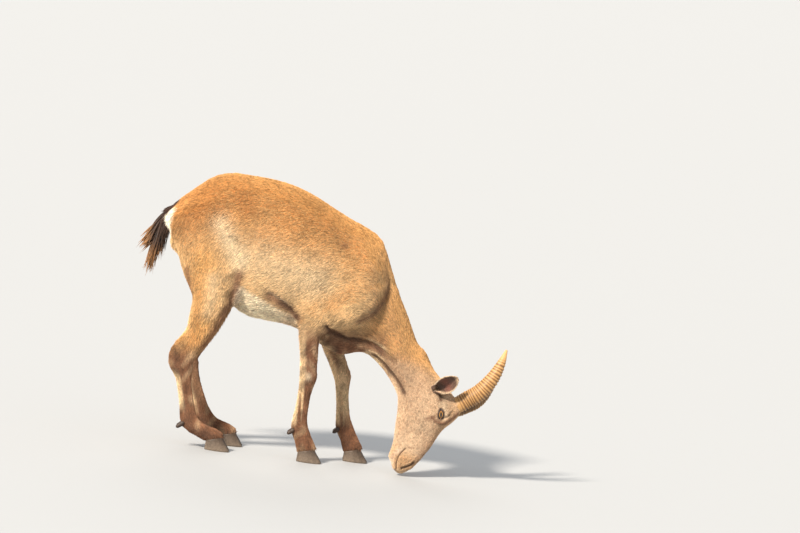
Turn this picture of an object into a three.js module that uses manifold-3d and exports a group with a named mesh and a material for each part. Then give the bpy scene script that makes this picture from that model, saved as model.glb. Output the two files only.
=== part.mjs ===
// An alpine ibex at life size, standing with its head lowered to the ground and turned a little to its
// right. Millimetres, +Z up. The animal faces +X, its left side is +Y, and it stands on the plane z = 0.
import * as THREE from "three";
import { mergeVertices } from "three/addons/utils/BufferGeometryUtils.js";
import Module from "manifold-3d";

const wasm = await Module();
wasm.setup();

// Driving dimensions
const gap = 0.3; // clearance kept where two parts meet
const foreStance = 72; // sideways distance of a forefoot from the midline
const hindStance = 76; // sideways distance of a hind foot from the midline
const coronetHeight = 34; // middle of the upper rim of a hoof
const clawWidth = 24;
const eyeRadius = 16.5;
const lidThickness = 3;
const hornRidges = 18;
const hornRidgeHeight = 1.5;
const earLength = 82;
const earWidth = 52;
const muzzleLift = 14; // how far the head is raised so that the muzzle clears the ground

// The head's own frame: x toward the nose, y to the left, z up out of the forehead, origin between the eyes
const headPlace = {
  at: new THREE.Vector3(355, -32, 148 + muzzleLift),
  nose: new THREE.Vector3(-0.366, -0.398, -0.842),
  left: new THREE.Vector3(-0.105, 0.916, -0.387),
};

// The side profile of the trunk and neck, from the rump to the nape. Each row: the upper edge (x, z), the
// lower edge (x, z), half the width, how high up the section its widest place lies, and a sideways shift.
const trunkProfile = [
  [-470, 652, -462, 604, 24, 0.5, 0],
  [-446, 680, -448, 548, 52, 0.5, 0],
  [-408, 715, -420, 510, 78, 0.5, 0],
  [-357, 757, -378, 482, 94, 0.5, 0],
  [-305, 774, -328, 452, 103, 0.5, 0],
  [-255, 774, -278, 410, 110, 0.48, 0],
  [-195, 772, -215, 378, 119, 0.43, 0],
  [-130, 762, -152, 372, 124, 0.42, 0],
  [-66, 740, -96, 367, 121, 0.44, 0],
  [-6, 711, -44, 348, 108, 0.47, 0],
  [44, 688, -6, 326, 92, 0.5, 0],
  [92, 669, 28, 310, 80, 0.52, 0],
  [136, 640, 58, 302, 71, 0.54, 0],
  [167, 576, 82, 307, 63, 0.56, 0],
  [196, 511, 104, 314, 57, 0.58, 0],
  [223, 464, 125, 315, 53, 0.58, 1],
  [246, 420, 145, 306, 50, 0.58, 3],
  [266, 378, 169, 288, 48, 0.58, 5],
  [286, 345, 196, 262, 46, 0.58, 6],
  [311, 298, 222, 229, 45, 0.57, 5],
  [340, 260, 250, 188, 44, 0.56, 2],
];

// The joints of each leg from the top down: along, sideways, up
const hindJoints = {
  right: [[-378, -56, 617], [-292, -84, 439], [-374, -74, 242], [-333, -hindStance, 66], [-258, -hindStance]],
  left: [[-376, 56, 615], [-286, 84, 436], [-368, 74, 236], [-300, hindStance, 68], [-228, hindStance]],
};
const foreJoints = {
  right: [[-37, -76, 392], [-20, -73, 235], [-23, -foreStance, 88], [0, -foreStance]],
  left: [[6, 76, 372], [74, 74, 234], [101, foreStance, 90], [127, foreStance]],
};
// The last joint of a leg lies inside the hoof, under the middle of the coronet
for (const joints of [...Object.values(hindJoints), ...Object.values(foreJoints)]) {
  const coronet = joints.at(-1);
  coronet.push(coronetHeight);
  joints.push([coronet[0] + 10, coronet[1], 6]);
}

// Sections along a leg: which bone, how far along it, forward shift, fore-and-aft radius, sideways radius
const hindSections = [
  [0, 0.0, 9, 81, 40],
  [0, 0.33, -4, 80, 50],
  [0, 0.6, -14, 73, 52],
  [0, 0.84, -20, 62, 49],
  [1, 0.1, -16, 60, 43],
  [1, 0.28, -8, 52, 36],
  [1, 0.46, -1, 44, 30],
  [1, 0.62, 1, 38, 24],
  [1, 0.78, -3, 37, 20],
  [1, 0.92, -8, 39, 20],
  [2, 0.02, -6, 38, 21],
  [2, 0.14, -5, 32, 19.5],
  [2, 0.28, -4, 24, 16.5],
  [2, 0.46, -4, 21.5, 14.5],
  [2, 0.64, -3, 21.5, 14.5],
  [2, 0.8, -3, 23, 16.5],
  [2, 0.96, 0, 26, 19.5],
  [3, 0.32, -1, 21, 19],
  [3, 0.66, 0, 22, 21],
  [3, 1.0, 0, 25, 23.5],
  [4, 0.5, 0, 25, 22],
];
const foreSections = [
  [0, -0.24, 18, 50, 30],
  [0, -0.02, 3, 38, 28],
  [0, 0.18, 1, 33, 26],
  [0, 0.4, 0, 30, 23],
  [0, 0.62, 0, 27.5, 20.5],
  [0, 0.84, -1, 25.5, 20],
  [0, 0.98, -1, 26, 21.5],
  [1, 0.14, -3, 22, 18.5],
  [1, 0.32, -5, 19.5, 14.5],
  [1, 0.58, -6, 19.5, 14],
  [1, 0.8, -7, 22, 16],
  [1, 0.98, -4, 25.5, 19.5],
  [2, 0.4, -1, 25, 19],
  [2, 1.0, 0, 28, 23.5],
  [3, 0.5, 0, 27, 22],
];

// The skull in its own frame. Each row: upper edge (x, z), lower edge (x, z), half the width, widest place.
const skullProfile = [
  [-150, -110, -62, -178, 50, 0.5],
  [-122, -83, -36, -156, 50, 0.52],
  [-104, -43, -14, -140, 49, 0.56],
  [-82, -1, 6, -129, 46, 0.6],
  [-48, 40, 26, -119, 45, 0.62],
  [-14, 38, 46, -110, 45, 0.64],
  [18, 26, 68, -102, 39, 0.62],
  [50, 22, 88, -94, 32, 0.58],
  [82, 21, 108, -86, 27, 0.56],
  [112, 16, 128, -78, 24.5, 0.55],
  [140, 10, 146, -72, 24, 0.52],
  [164, 2, 163, -66, 23, 0.5],
  [182, -10, 176, -52, 18, 0.5],
];

// Horn: centre line in the head's frame with half its thickness seen from the side, from skull to tip
const hornLine = [
  [-38, 18, 6, 21],
  [-60, 22, 27, 23.5],
  [-87, 31, 44, 24],
  [-112, 42, 60, 23.5],
  [-142, 53, 70, 21.5],
  [-178, 62, 75, 17.5],
  [-217, 68, 74, 11.5],
  [-255, 70, 69, 3],
];
const hornFlatness = 0.74; // sideways thickness over the thickness seen from the side

// Colours
const paint = (color, roughness = 0.9) => new THREE.MeshStandardMaterial({ color, roughness, metalness: 0 });
const coatColour = paint("#c98f52");
const legColour = paint("#8a6247");
const faceColour = paint("#d3b083");
const hornColour = paint("#a9783f", 0.6);
const hoofColour = paint("#8c8072", 0.6);
const eyeColour = paint("#5a3210", 0.15);
const tailColour = paint("#3a241a");

const sideways = new THREE.Vector3(0, 1, 0);
const v = (x, y, z) => new THREE.Vector3(x, y, z);

const headUp = headPlace.nose.clone().cross(headPlace.left).normalize();
const headLeft = headUp.clone().cross(headPlace.nose).normalize();
const headNose = headPlace.nose.clone().normalize();
const headFrame = new THREE.Matrix4().makeBasis(headNose, headLeft, headUp).setPosition(headPlace.at);
const onHead = (x, y, z) => v(x, y, z).applyMatrix4(headFrame);

// Smooth curve through rows of numbers, at a place given in rows from the first one
function between(rows, place) {
  const last = rows.length - 1;
  const i = Math.min(Math.floor(place), last - 1);
  const t = place - i;
  const row = (k) => rows[Math.max(0, Math.min(last, k))];
  return rows[0].map((_, c) => {
    const [a, b, d, e] = [row(i - 1)[c], row(i)[c], row(i + 1)[c], row(i + 2)[c]];
    return b + 0.5 * t * (d - a + t * (2 * a - 5 * b + 4 * d - e + t * (3 * (b - d) + e - a)));
  });
}

// A bent mass of the body along a smooth line of sections. A row is x, y, z, upper radius, lower radius and
// side radius, or, for a mass given by its edges, the points of the upper and lower edge, the side radius
// and how high up the section its widest place lies. The field is about the distance to the surface,
// negative inside.
class Mass {
  constructor(rows, options = {}) {
    const { across = sideways, powers = [2, 2], ends = [0.8, 0.8], byEdges = false } = options;
    const fine = 4;
    this.rows = rows;
    this.byEdges = byEdges;
    this.across = across;
    this.powers = powers;
    this.ends = ends;
    this.rings = [];
    for (let i = 0; i <= (rows.length - 1) * fine; i++) this.rings.push(this.ring(i / fine));
    this.bounds = new THREE.Box3();
    for (const ring of this.rings) {
      const reach = Math.max(ring.upper, ring.lower, ring.side);
      this.bounds.expandByPoint(ring.centre.clone().addScalar(reach));
      this.bounds.expandByPoint(ring.centre.clone().addScalar(-reach));
    }
  }

  // The section at a place given in rows; one with edges has the direction from the lower to the upper one
  section(place) {
    const row = between(this.rows, place);
    if (!this.byEdges) return { centre: v(...row.slice(0, 3)), upper: row[3], lower: row[4], side: row[5] };
    const [top, bottom] = [v(...row.slice(0, 3)), v(...row.slice(3, 6))];
    const [side, wide] = row.slice(6);
    const height = top.distanceTo(bottom);
    const over = top.clone().sub(bottom).normalize();
    return { centre: bottom.lerp(top, wide), upper: (1 - wide) * height, lower: wide * height, side, over };
  }

  // The section with its directions: along the line, from its lower to its upper edge, and beside
  ring(place) {
    const section = this.section(place);
    if (this.byEdges) {
      section.along = this.across.clone().cross(section.over).normalize();
    } else {
      const step = 0.05;
      const before = this.section(Math.max(0, place - step)).centre;
      const after = this.section(Math.min(this.rows.length - 1, place + step)).centre;
      section.along = after.sub(before).normalize();
      section.over = section.along.clone().cross(this.across).normalize();
    }
    section.beside = section.over.clone().cross(section.along);
    return section;
  }

  // Which piece of the line a point lies beside, and the share along it. On a mass with edges the sections
  // through the point count, otherwise the nearest place on the line.
  locate(p) {
    const { rings } = this;
    const end = rings.length - 2;
    let [best, at, share] = [Infinity, 0, 0];
    const depth = ({ centre, along }) => p.clone().sub(centre).dot(along);
    for (let i = 0; i <= end; i++) {
      const a = rings[i].centre;
      const b = rings[i + 1].centre;
      const [dx, dy, dz] = [b.x - a.x, b.y - a.y, b.z - a.z];
      const [qx, qy, qz] = [p.x - a.x, p.y - a.y, p.z - a.z];
      let t = (qx * dx + qy * dy + qz * dz) / (dx * dx + dy * dy + dz * dz);
      if (this.byEdges) {
        const [before, after] = [depth(rings[i]), depth(rings[i + 1])];
        if ((before < 0 && i > 0) || (after > 0 && i < end)) continue;
        t = before < 0 ? 0 : after > 0 ? 1 : before / (before - after || 1);
      }
      t = Math.max(0, Math.min(1, t));
      const away = (qx - t * dx) ** 2 + (qy - t * dy) ** 2 + (qz - t * dz) ** 2;
      if (away < best) [best, at, share] = [away, i, t];
    }
    return [at, share];
  }

  field(p) {
    const { rings } = this;
    if (this.bounds.distanceToPoint(p) > 60) return 1e3;
    const [at, share] = this.locate(p);
    const a = rings[at];
    const b = rings[at + 1];
    const mix = (name) => a[name] + (b[name] - a[name]) * share;
    const q = p.clone().sub(a.centre).addScaledVector(b.centre.clone().sub(a.centre), -share);
    const over = a.over.clone().lerp(b.over, share).normalize();
    const along = a.along.clone().lerp(b.along, share).normalize();
    const beside = over.clone().cross(along);
    const height = q.dot(over);
    const radius = height > 0 ? mix("upper") : mix("lower");
    const power = height > 0 ? this.powers[0] : this.powers[1];
    const side = mix("side");
    const section = (Math.abs(height) / radius) ** power + (Math.abs(q.dot(beside)) / side) ** power;
    const ending = (at === 0 ? this.ends[0] : this.ends[1]) * Math.min(radius, side);
    const atEnd = (at === 0 && share === 0) || (at === rings.length - 2 && share === 1);
    const beyond = atEnd ? q.dot(along) / ending : 0;
    const ratio = Math.sqrt(section ** (2 / power) + beyond ** 2);
    if (ratio < 1e-3) return -Math.min(radius, side);
    return q.length() * (1 - 1 / ratio);
  }
}

// A mass from a side profile in the x-z plane
function profileMass(profile, options) {
  const rows = profile.map(([tx, tz, bx, bz, side, wide, y]) => [tx, y, tz, bx, y, bz, side, wide]);
  return new Mass(rows, { byEdges: true, ...options });
}

// A mass on the head from a side profile in the head's own frame
function skullMass(profile, options) {
  const edge = (x, z) => [...onHead(x, 0, z)];
  const rows = profile.map(([tx, tz, bx, bz, ...rest]) => [...edge(tx, tz), ...edge(bx, bz), ...rest]);
  return new Mass(rows, { across: headLeft, byEdges: true, ...options });
}

// Rows of a leg's mass from its joints and its sections
function legRows(joints, sections) {
  return sections.map(([bone, t, forward, radius, side]) => {
    const a = v(...joints[bone]);
    const b = v(...joints[bone + 1]);
    const front = b.clone().sub(a).cross(sideways).normalize();
    return [...a.lerp(b, t).addScaledVector(front, forward), radius, radius, side];
  });
}

// Joins two fields with a fillet of the given size
function blend(a, b, size) {
  const near = Math.max(size - Math.abs(a - b), 0) / size;
  return Math.min(a, b) - near * near * size * 0.25;
}

// The masses of the trunk and neck
const trunk = profileMass(trunkProfile, { powers: [1.85, 1.9], ends: [0.6, 0.5] });

function shoulderMasses(elbow, side) {
  const [ex, ey, ez] = elbow;
  const drop = ez - foreJoints.right[0][2];
  const shift = ex - foreJoints.right[0][0];
  const blade = [
    [60, 34, 630, 34, 36, 16],
    [70, 48, 585, 54, 56, 26],
    [84, 60, 535, 64, 66, 32],
    [88, 66, 487, 60, 66, 36],
    [76 + shift / 2, 69, 452 + drop / 2, 52, 58, 37],
  ];
  const arm = [
    [112 + shift, 66, 482 + drop, 32, 32, 32],
    [84 + shift, 71, 452 + drop, 44, 44, 38],
    [40 + shift, 74, 424 + drop, 42, 42, 38],
    [ex + 12, Math.abs(ey), ez + 14, 40, 40, 34],
  ];
  const place = (rows) => new Mass(rows.map(([x, y, ...rest]) => [x, side * y, ...rest]), { ends: [1, 1] });
  return [place(blade), place(arm)];
}

function haunchMasses(hip, side) {
  const [hx, , hz] = hip;
  const rump = [
    [hx - 54, 46, hz + 12, 36, 40, 32],
    [hx - 18, 62, hz + 12, 58, 64, 42],
    [hx + 34, 68, hz + 6, 70, 76, 42],
    [hx + 80, 68, hz - 4, 52, 56, 34],
  ];
  return [new Mass(rump.map(([x, y, ...rest]) => [x, side * y, ...rest]), { ends: [1, 1] })];
}

// The masses of the head
const skull = skullMass(skullProfile, { powers: [2.2, 1.9], ends: [0.8, 0.75] });

function headMass(rows, options) {
  const placed = rows.map(([x, y, z, ...radii]) => [...onHead(x, y, z), ...radii]);
  return new Mass(placed, { across: headLeft, ends: [1, 1], ...options });
}

function faceMasses(side) {
  return [
    // the rim of the eye socket
    headMass([
      [-26, side * 33, 3, 20, 22, 16],
      [-3, side * 36, 1, 21, 22, 17],
      [17, side * 32, 3, 16, 18, 14],
    ]),
    // the cheek
    headMass([
      [2, side * 27, -66, 40, 44, 19],
      [32, side * 26, -62, 38, 36, 18],
      [64, side * 20, -54, 26, 26, 12],
    ]),
    // the base of the horn
    headMass([[-34, side * 19, 16, 22, 22, 19], [-58, side * 22, 26, 23, 23, 20]]),
    // the upper lip
    headMass([
      [138, side * 11, -26, 18, 16, 13],
      [164, side * 10, -24, 20, 18, 12],
      [178, side * 7, -26, 14, 13, 10],
    ]),
  ];
}
const chin = headMass([[132, 0, -58, 15, 15, 18], [160, 0, -58, 13, 11, 15]]);

const sides = { right: -1, left: 1 };
const bodyMasses = [trunk];
const headMasses = [skull, chin];
const limbs = {};
for (const [name, side] of Object.entries(sides)) {
  bodyMasses.push(...shoulderMasses(foreJoints[name][0], side), ...haunchMasses(hindJoints[name][0], side));
  headMasses.push(...faceMasses(side));
  limbs["hind_" + name] = new Mass(legRows(hindJoints[name], hindSections), { ends: [0.9, 0.4] });
  limbs["fore_" + name] = new Mass(legRows(foreJoints[name], foreSections), { ends: [0.9, 0.4] });
}
const bodyFillet = 24;
const headFillet = 15;
const limbFillet = 22;
const neckFillet = 16;

const fieldOf = (masses, fillet) => (p) =>
  masses.reduce((sum, mass) => blend(sum, mass.field(p), fillet), 1e3);
const bodyField = fieldOf(bodyMasses, bodyFillet);
const headField = fieldOf(headMasses, headFillet);
const coreField = (p) => blend(bodyField(p), headField(p), neckFillet);

// The surface of the whole animal without ears, horns, hooves and tail
function flesh(p) {
  const core = coreField(p);
  const withLimb = (least, limb) => Math.min(least, blend(core, limb.field(p), limbFillet));
  return Object.values(limbs).reduce(withLimb, core);
}

// Where a ray that starts inside a field leaves it
function leaving(field, start, direction, reach) {
  const p = v(0, 0, 0);
  const at = (r) => field(p.copy(start).addScaledVector(direction, r));
  let inside = 0;
  let outside = 0;
  while (outside < reach) {
    const depth = at(outside);
    if (depth > 0) break;
    inside = outside;
    outside = Math.min(reach, outside + Math.max(2.5, -depth * 0.7));
    if (outside === reach && at(reach) < 0) return reach;
  }
  for (let i = 0; i < 12; i++) {
    const middle = (inside + outside) / 2;
    if (at(middle) < 0) inside = middle;
    else outside = middle;
  }
  return inside;
}

// A solid from points and triangles; a mirrored one is turned to face out
function solidOf(points, faces) {
  const vertProperties = new Float32Array(points.flatMap((p) => [p.x, p.y, p.z]));
  const make = (triangles) => {
    const triVerts = new Uint32Array(triangles.flat());
    return new wasm.Manifold(new wasm.Mesh({ numProp: 3, vertProperties, triVerts }));
  };
  const solid = make(faces);
  return solid.volume() < 0 ? make(faces.map(([a, b, c]) => [a, c, b])) : solid;
}

// A closed solid over rings of points, each ring with as many points, wound so that it faces out. Each end
// closes on a point.
function skinOver(rings, first, last) {
  const count = rings[0].length;
  const points = [first, ...rings.flat(), last];
  const index = (i, j) => 1 + i * count + (j % count);
  const faces = [];
  for (let j = 0; j < count; j++) {
    faces.push([0, index(0, j), index(0, j + 1)]);
    faces.push([points.length - 1, index(rings.length - 1, j + 1), index(rings.length - 1, j)]);
    for (let i = 0; i < rings.length - 1; i++) {
      const [a, b, c, d] = [index(i, j), index(i + 1, j), index(i, j + 1), index(i + 1, j + 1)];
      if (points[a].distanceTo(points[d]) < points[b].distanceTo(points[c])) faces.push([a, b, d], [a, d, c]);
      else faces.push([a, b, c], [b, d, c]);
    }
  }
  return solidOf(points, faces);
}

// Wraps a field from the line of a mass: rings of rays out to the surface, between two places on the line
function wrap(field, mass, { from, to, rings, sides: count, reach = 260, domes = [0, 0] }) {
  const cast = (ring, direction) => {
    const length = leaving(field, ring.centre, direction, reach);
    return ring.centre.clone().addScaledVector(direction, length);
  };
  const round = (ring, lean) => {
    const points = [];
    for (let j = 0; j < count; j++) {
      const angle = (2 * Math.PI * j) / count;
      const height = Math.cos(angle) * (Math.cos(angle) > 0 ? ring.upper : ring.lower);
      const direction = ring.over.clone().multiplyScalar(height);
      direction.addScaledVector(ring.beside, Math.sin(angle) * ring.side).normalize();
      direction.multiplyScalar(Math.cos(lean)).addScaledVector(ring.along, Math.sin(lean));
      points.push(cast(ring, direction));
    }
    return points;
  };
  const rows = [];
  const [startDomes, endDomes] = domes;
  const first = mass.ring(from);
  const last = mass.ring(to);
  for (let i = startDomes; i > 0; i--) rows.push(round(first, (-Math.PI / 2) * (i / (startDomes + 1))));
  for (let i = 0; i <= rings; i++) rows.push(round(mass.ring(from + ((to - from) * i) / rings), 0));
  for (let i = 1; i <= endDomes; i++) rows.push(round(last, (Math.PI / 2) * (i / (endDomes + 1))));
  const start = startDomes ? cast(first, first.along.clone().negate()) : first.centre;
  const end = endDomes ? cast(last, last.along) : last.centre;
  return skinOver(rows, start, end);
}

function fromGeometry(geometry) {
  const bare = geometry.clone();
  bare.deleteAttribute("normal");
  bare.deleteAttribute("uv");
  const merged = mergeVertices(bare, 1e-4);
  const points = merged.attributes.position.array;
  return new wasm.Manifold(
    new wasm.Mesh({ numProp: 3, vertProperties: points, triVerts: new Uint32Array(merged.index.array) }),
  );
}

function toGeometry(solid) {
  const mesh = solid.getMesh();
  const geometry = new THREE.BufferGeometry();
  const points = new Float32Array(mesh.numVert * 3);
  for (let i = 0; i < mesh.numVert; i++) {
    points.set(mesh.vertProperties.subarray(i * mesh.numProp, i * mesh.numProp + 3), i * 3);
  }
  geometry.setAttribute("position", new THREE.BufferAttribute(points, 3));
  geometry.setIndex(new THREE.BufferAttribute(mesh.triVerts, 1));
  geometry.computeVertexNormals();
  return geometry;
}

// The largest closed surface of a solid, without hollows or loose scraps
function largest(solid) {
  return solid.decompose().reduce((most, piece) => (piece.volume() > most.volume() ? piece : most));
}

// A flat slab cut from a side view outline (points of x and z), from one sideways place to another
function slab(outline, from, to, frame = new THREE.Matrix4()) {
  const shape = new THREE.Shape(outline.map(([x, z]) => new THREE.Vector2(x, z)));
  const geometry = new THREE.ExtrudeGeometry(shape, { depth: to - from, bevelEnabled: false });
  geometry.rotateX(Math.PI / 2);
  geometry.translate(0, to, 0);
  geometry.applyMatrix4(frame);
  return fromGeometry(geometry);
}

// The half space ahead of a slanted line in side view, from a low point to a high point, moved ahead by shift
function ahead(low, high, shift, frame) {
  const [dx, dz] = [high[0] - low[0], high[1] - low[1]];
  const length = Math.hypot(dx, dz);
  const [nx, nz] = [dz / length, -dx / length];
  const far = 900;
  const point = (along, out) => [
    low[0] + (dx / length) * along + nx * (out + shift),
    low[1] + (dz / length) * along + nz * (out + shift),
  ];
  return slab([point(-far, 0), point(-far, far), point(far, far), point(far, 0)], -far, far, frame);
}

const animal = new THREE.Group();

function addPart(name, solid, material) {
  const mesh = new THREE.Mesh(toGeometry(largest(solid)), material);
  mesh.name = name;
  animal.add(mesh);
}

// Cuts between the parts, in side view, each from a low point to a high point
const neckBase = [[90, 325], [187, 530]];
const neckTop = [[-22, -150], [-118, -66]]; // in the head's frame

// The part of the side view that belongs to each upper leg, as the corners of an outline in the x-z plane
function legOutline(name, inset) {
  if (name.startsWith("hind")) {
    const [sx] = hindJoints[name.slice(5)][1];
    const front = sx + 36 - inset;
    return [[-560, 590 - inset], [front + 12, 478 - inset], [front, 400], [front, 120], [-560, 120]];
  }
  const [ex, , ez] = foreJoints[name.slice(5)][0];
  const lean = name.endsWith("left") ? 56 : 0;
  return [
    [ex - 48 + inset, ez + 26 - inset],
    [ex + 52 + lean / 2 - inset, ez - 18 - inset],
    [ex + 70 + lean - inset, 200],
    [ex - 48 + inset, 200],
  ];
}
const innerEdge = { hind: 24, fore: 44 };
const outerEdge = 300;

function legBlock(name, inset) {
  const side = name.endsWith("left") ? 1 : -1;
  const inner = innerEdge[name.slice(0, 4)] + inset;
  const [from, to] = side > 0 ? [inner, outerEdge] : [-outerEdge, -inner];
  return slab(legOutline(name, inset), from, to);
}

// How far inside a convex outline a place in side view lies, negative outside
function depthInside(outline, x, z) {
  return outline.reduce((least, [ax, az], i) => {
    const [bx, bz] = outline[(i + 1) % outline.length];
    const cross = (bx - ax) * (z - az) - (bz - az) * (x - ax);
    return Math.min(least, -cross / Math.hypot(bx - ax, bz - az));
  }, Infinity);
}

const trunkRings = (count) => {
  const [from, step] = [0.35, 0.49];
  return { from, to: from + step * count, rings: count, sides: 30, reach: 420, domes: [3, 0] };
};

// The trunk, with the tops of the legs
function makeTorso() {
  const margin = 14;
  const depthInLeg = (p) =>
    Object.keys(limbs).reduce((most, name) => {
      const side = name.endsWith("left") ? 1 : -1;
      const inward = side * p.y - innerEdge[name.slice(0, 4)];
      return Math.max(most, Math.min(inward, depthInside(legOutline(name, 0), p.x, p.z)));
    }, -Infinity);
  const bounded = (p) => Math.max(flesh(p), depthInLeg(p) - margin);
  const body = wrap(bounded, trunk, trunkRings(29));
  let torso = body.subtract(ahead(...neckBase, 0));
  for (const name of Object.keys(limbs)) torso = torso.subtract(legBlock(name, 0));
  return torso;
}

function makeNeck() {
  const body = wrap(flesh, trunk, { from: 11.5, to: 20, rings: 14, sides: 24, reach: 200 });
  const neck = body.intersect(ahead(...neckBase, gap));
  return neck.subtract(ahead(...neckTop, -gap, headFrame));
}

const headRings = { from: 0.6, to: 12, rings: 22, sides: 28, reach: 150, domes: [0, 3] };

// The head's plain surface, moved out by a distance
function headSurface(out) {
  const body = wrap((p) => flesh(p) - out, skull, headRings);
  return body.intersect(ahead(...neckTop, 0, headFrame));
}

// The place on the head's surface beside a place on its middle plane
function headSide(x, z, side) {
  const start = onHead(x, 0, z);
  const direction = headLeft.clone().multiplyScalar(side);
  return side * leaving(flesh, start, direction, 90);
}

// Frames of the eyes: x along the slit between the lids, z out of the socket
function eyeFrame(side) {
  const out = v(0.32, side * 0.92, 0.2).normalize();
  const slit = v(0.86, 0, 0.5).addScaledVector(out, -v(0.86, 0, 0.5).dot(out)).normalize();
  const lid = out.clone().cross(slit);
  const local = new THREE.Matrix4().makeBasis(slit, lid, out).setPosition(-6, side * 34.5, -4);
  return headFrame.clone().multiply(local);
}

const ball = (radius, detail, frame) =>
  fromGeometry(new THREE.IcosahedronGeometry(radius, detail).applyMatrix4(frame));

function almond(frame) {
  const [half, height] = [15.5, 7.4];
  const shape = new THREE.Shape();
  shape.moveTo(-half, 0);
  shape.quadraticCurveTo(0, -2 * height, half, 0);
  shape.quadraticCurveTo(0, 2 * height, -half, 0);
  const geometry = new THREE.ExtrudeGeometry(shape, { depth: 40, bevelEnabled: false, curveSegments: 6 });
  return fromGeometry(geometry.applyMatrix4(frame));
}

// The line between the lips, as a groove round the muzzle
function mouthGroove() {
  const [depth, half] = [4.5, 0.9];
  const places = [[200, -33], [174, -42], [152, -45], [127, -40]];
  const points = new THREE.SplineCurve(places.map((p) => new THREE.Vector2(...p))).getPoints(8);
  const shifted = (out) => points.map((p) => [p.x, p.y + out]);
  const sheet = slab([...shifted(half), ...shifted(-half).reverse()], -45, 45, headFrame);
  const rings = { from: 8, to: 12, rings: 8, sides: 20, reach: 60, domes: [2, 3] };
  const core = wrap((p) => flesh(p) + depth, skull, rings);
  return sheet.subtract(core);
}

function nostril(side) {
  const line = [[180, -21, 3], [172, -12, 3.6], [162, -5, 3], [151, -1, 1.6]];
  const inSkin = (x, z) => [...onHead(x, headSide(x, z, side) - side * 1.5, z)];
  const rows = line.map(([x, z, radius]) => [...inSkin(x, z), radius, radius, 4]);
  const hole = new Mass(rows, { across: headLeft, ends: [1, 1] });
  return wrap((p) => hole.field(p), hole, { from: 0, to: 3, rings: 5, sides: 8, reach: 12, domes: [1, 1] });
}

function makeHead() {
  let head = headSurface(0).subtract(mouthGroove());
  for (const side of Object.values(sides)) {
    const frame = eyeFrame(side);
    const lids = ball(eyeRadius + lidThickness, 2, frame);
    head = head.add(lids).subtract(ball(eyeRadius + gap, 2, frame)).subtract(almond(frame));
    head = head.subtract(nostril(side));
  }
  return head;
}

// A horn swept back from the brow, ridged across its front
function makeHorn(side) {
  const flat = (half) => half * hornFlatness;
  const rows = hornLine.map(([x, out, z, half]) => [...onHead(x, side * out, z), half, half, flat(half)]);
  const line = new Mass(rows, { across: headLeft });
  const [perRidge, count] = [3, 10];
  const [firstRidge, lastRidge] = [0.2, 0.92]; // shares of the horn's length
  const steps = Math.round((hornRidges * perRidge) / (lastRidge - firstRidge));
  const rings = [];
  for (let i = 0; i < steps; i++) {
    const share = i / steps;
    const ring = line.ring(share * (rows.length - 1));
    const ridged = share > firstRidge && share < lastRidge;
    const swell = ridged ? [-0.5, 1, 0.4][i % perRidge] * hornRidgeHeight * (1 - 0.6 * share) : 0;
    const points = [];
    for (let j = 0; j < count; j++) {
      const angle = (2 * Math.PI * (j + 0.5)) / count;
      const rear = Math.cos(angle);
      const front = Math.max(0, -rear);
      const out = 1 + (swell * (0.35 + 0.65 * front)) / ring.upper;
      const width = ring.side * (1 - 0.22 * Math.max(0, rear)) * Math.sin(angle);
      const point = ring.centre.clone().addScaledVector(ring.over, rear * ring.upper * out);
      points.push(point.addScaledVector(ring.beside, width * out));
    }
    rings.push(points);
  }
  return skinOver(rings, line.ring(0).centre, line.ring(rows.length - 1).centre);
}

// An ear: a cupped leaf, nearly a tube at its base and open toward the tip
function makeEar(side) {
  const base = v(-70, side * 38, -52);
  const axis = v(-0.3, side * 0.8, 0.5).normalize();
  const facing = v(0.88, side * 0.45, -0.12);
  facing.addScaledVector(axis, -facing.dot(axis)).normalize();
  const across = axis.clone().cross(facing);
  // share of the length, half width over the ear's half width, half angle of the cup, thickness
  const shape = [
    [0, 0.5, 3.0, 10],
    [0.1, 0.5, 2.7, 4.5],
    [0.24, 0.66, 2.1, 3.6],
    [0.4, 0.88, 1.6, 3],
    [0.56, 1, 1.3, 2.6],
    [0.72, 0.94, 1.15, 2.3],
    [0.86, 0.68, 1.0, 2],
    [0.96, 0.34, 0.9, 1.6],
  ];
  const arc = 7;
  const rings = shape.map(([share, wide, open, thick]) => {
    const radius = (wide * earWidth * 0.5) / Math.sin(Math.min(open, Math.PI / 2));
    const bend = 12 * share * share;
    const centre = base.clone().addScaledVector(axis, share * earLength);
    centre.addScaledVector(facing, radius - bend);
    const point = (angle, r) => {
      const inward = centre.clone().addScaledVector(facing, -r * Math.cos(angle));
      return inward.addScaledVector(across, r * Math.sin(angle)).applyMatrix4(headFrame);
    };
    const inner = Math.max(0.6, radius - thick);
    const points = [];
    for (let k = 0; k < arc; k++) points.push(point(open * ((2 * k) / (arc - 1) - 1), radius));
    for (let k = 0; k < arc; k++) points.push(point(open * (1 - (2 * k) / (arc - 1)), inner));
    return points;
  });
  const root = base.clone().addScaledVector(facing, earWidth * 0.25).applyMatrix4(headFrame);
  const tip = base.clone().addScaledVector(axis, earLength).addScaledVector(facing, -4);
  return skinOver(rings, root, tip.applyMatrix4(headFrame));
}

addPart("torso", makeTorso(), coatColour);
addPart("neck", makeNeck(), coatColour);
addPart("head", makeHead(), faceColour);
const clearOfHead = headSurface(gap);
for (const [name, side] of Object.entries(sides)) {
  addPart("eye_" + name, ball(eyeRadius, 2, eyeFrame(side)), eyeColour);
  addPart("horn_" + name, makeHorn(side).subtract(clearOfHead), hornColour);
  addPart("ear_" + name, makeEar(side).subtract(clearOfHead), faceColour);
}

// The region under the coronet of a foot, which slopes down to the heel, lowered by a shift
function underCoronet([x, , z], shift) {
  const [front, rear] = [30, -30];
  const slope = 0.26;
  const line = (at) => z + at * slope - shift;
  const top = [[x + rear * 2, line(rear * 2)], [x + front * 2, line(front * 2)]];
  return slab([...top, [x + 90, -60], [x - 90, -60]], -300, 300);
}

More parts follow.
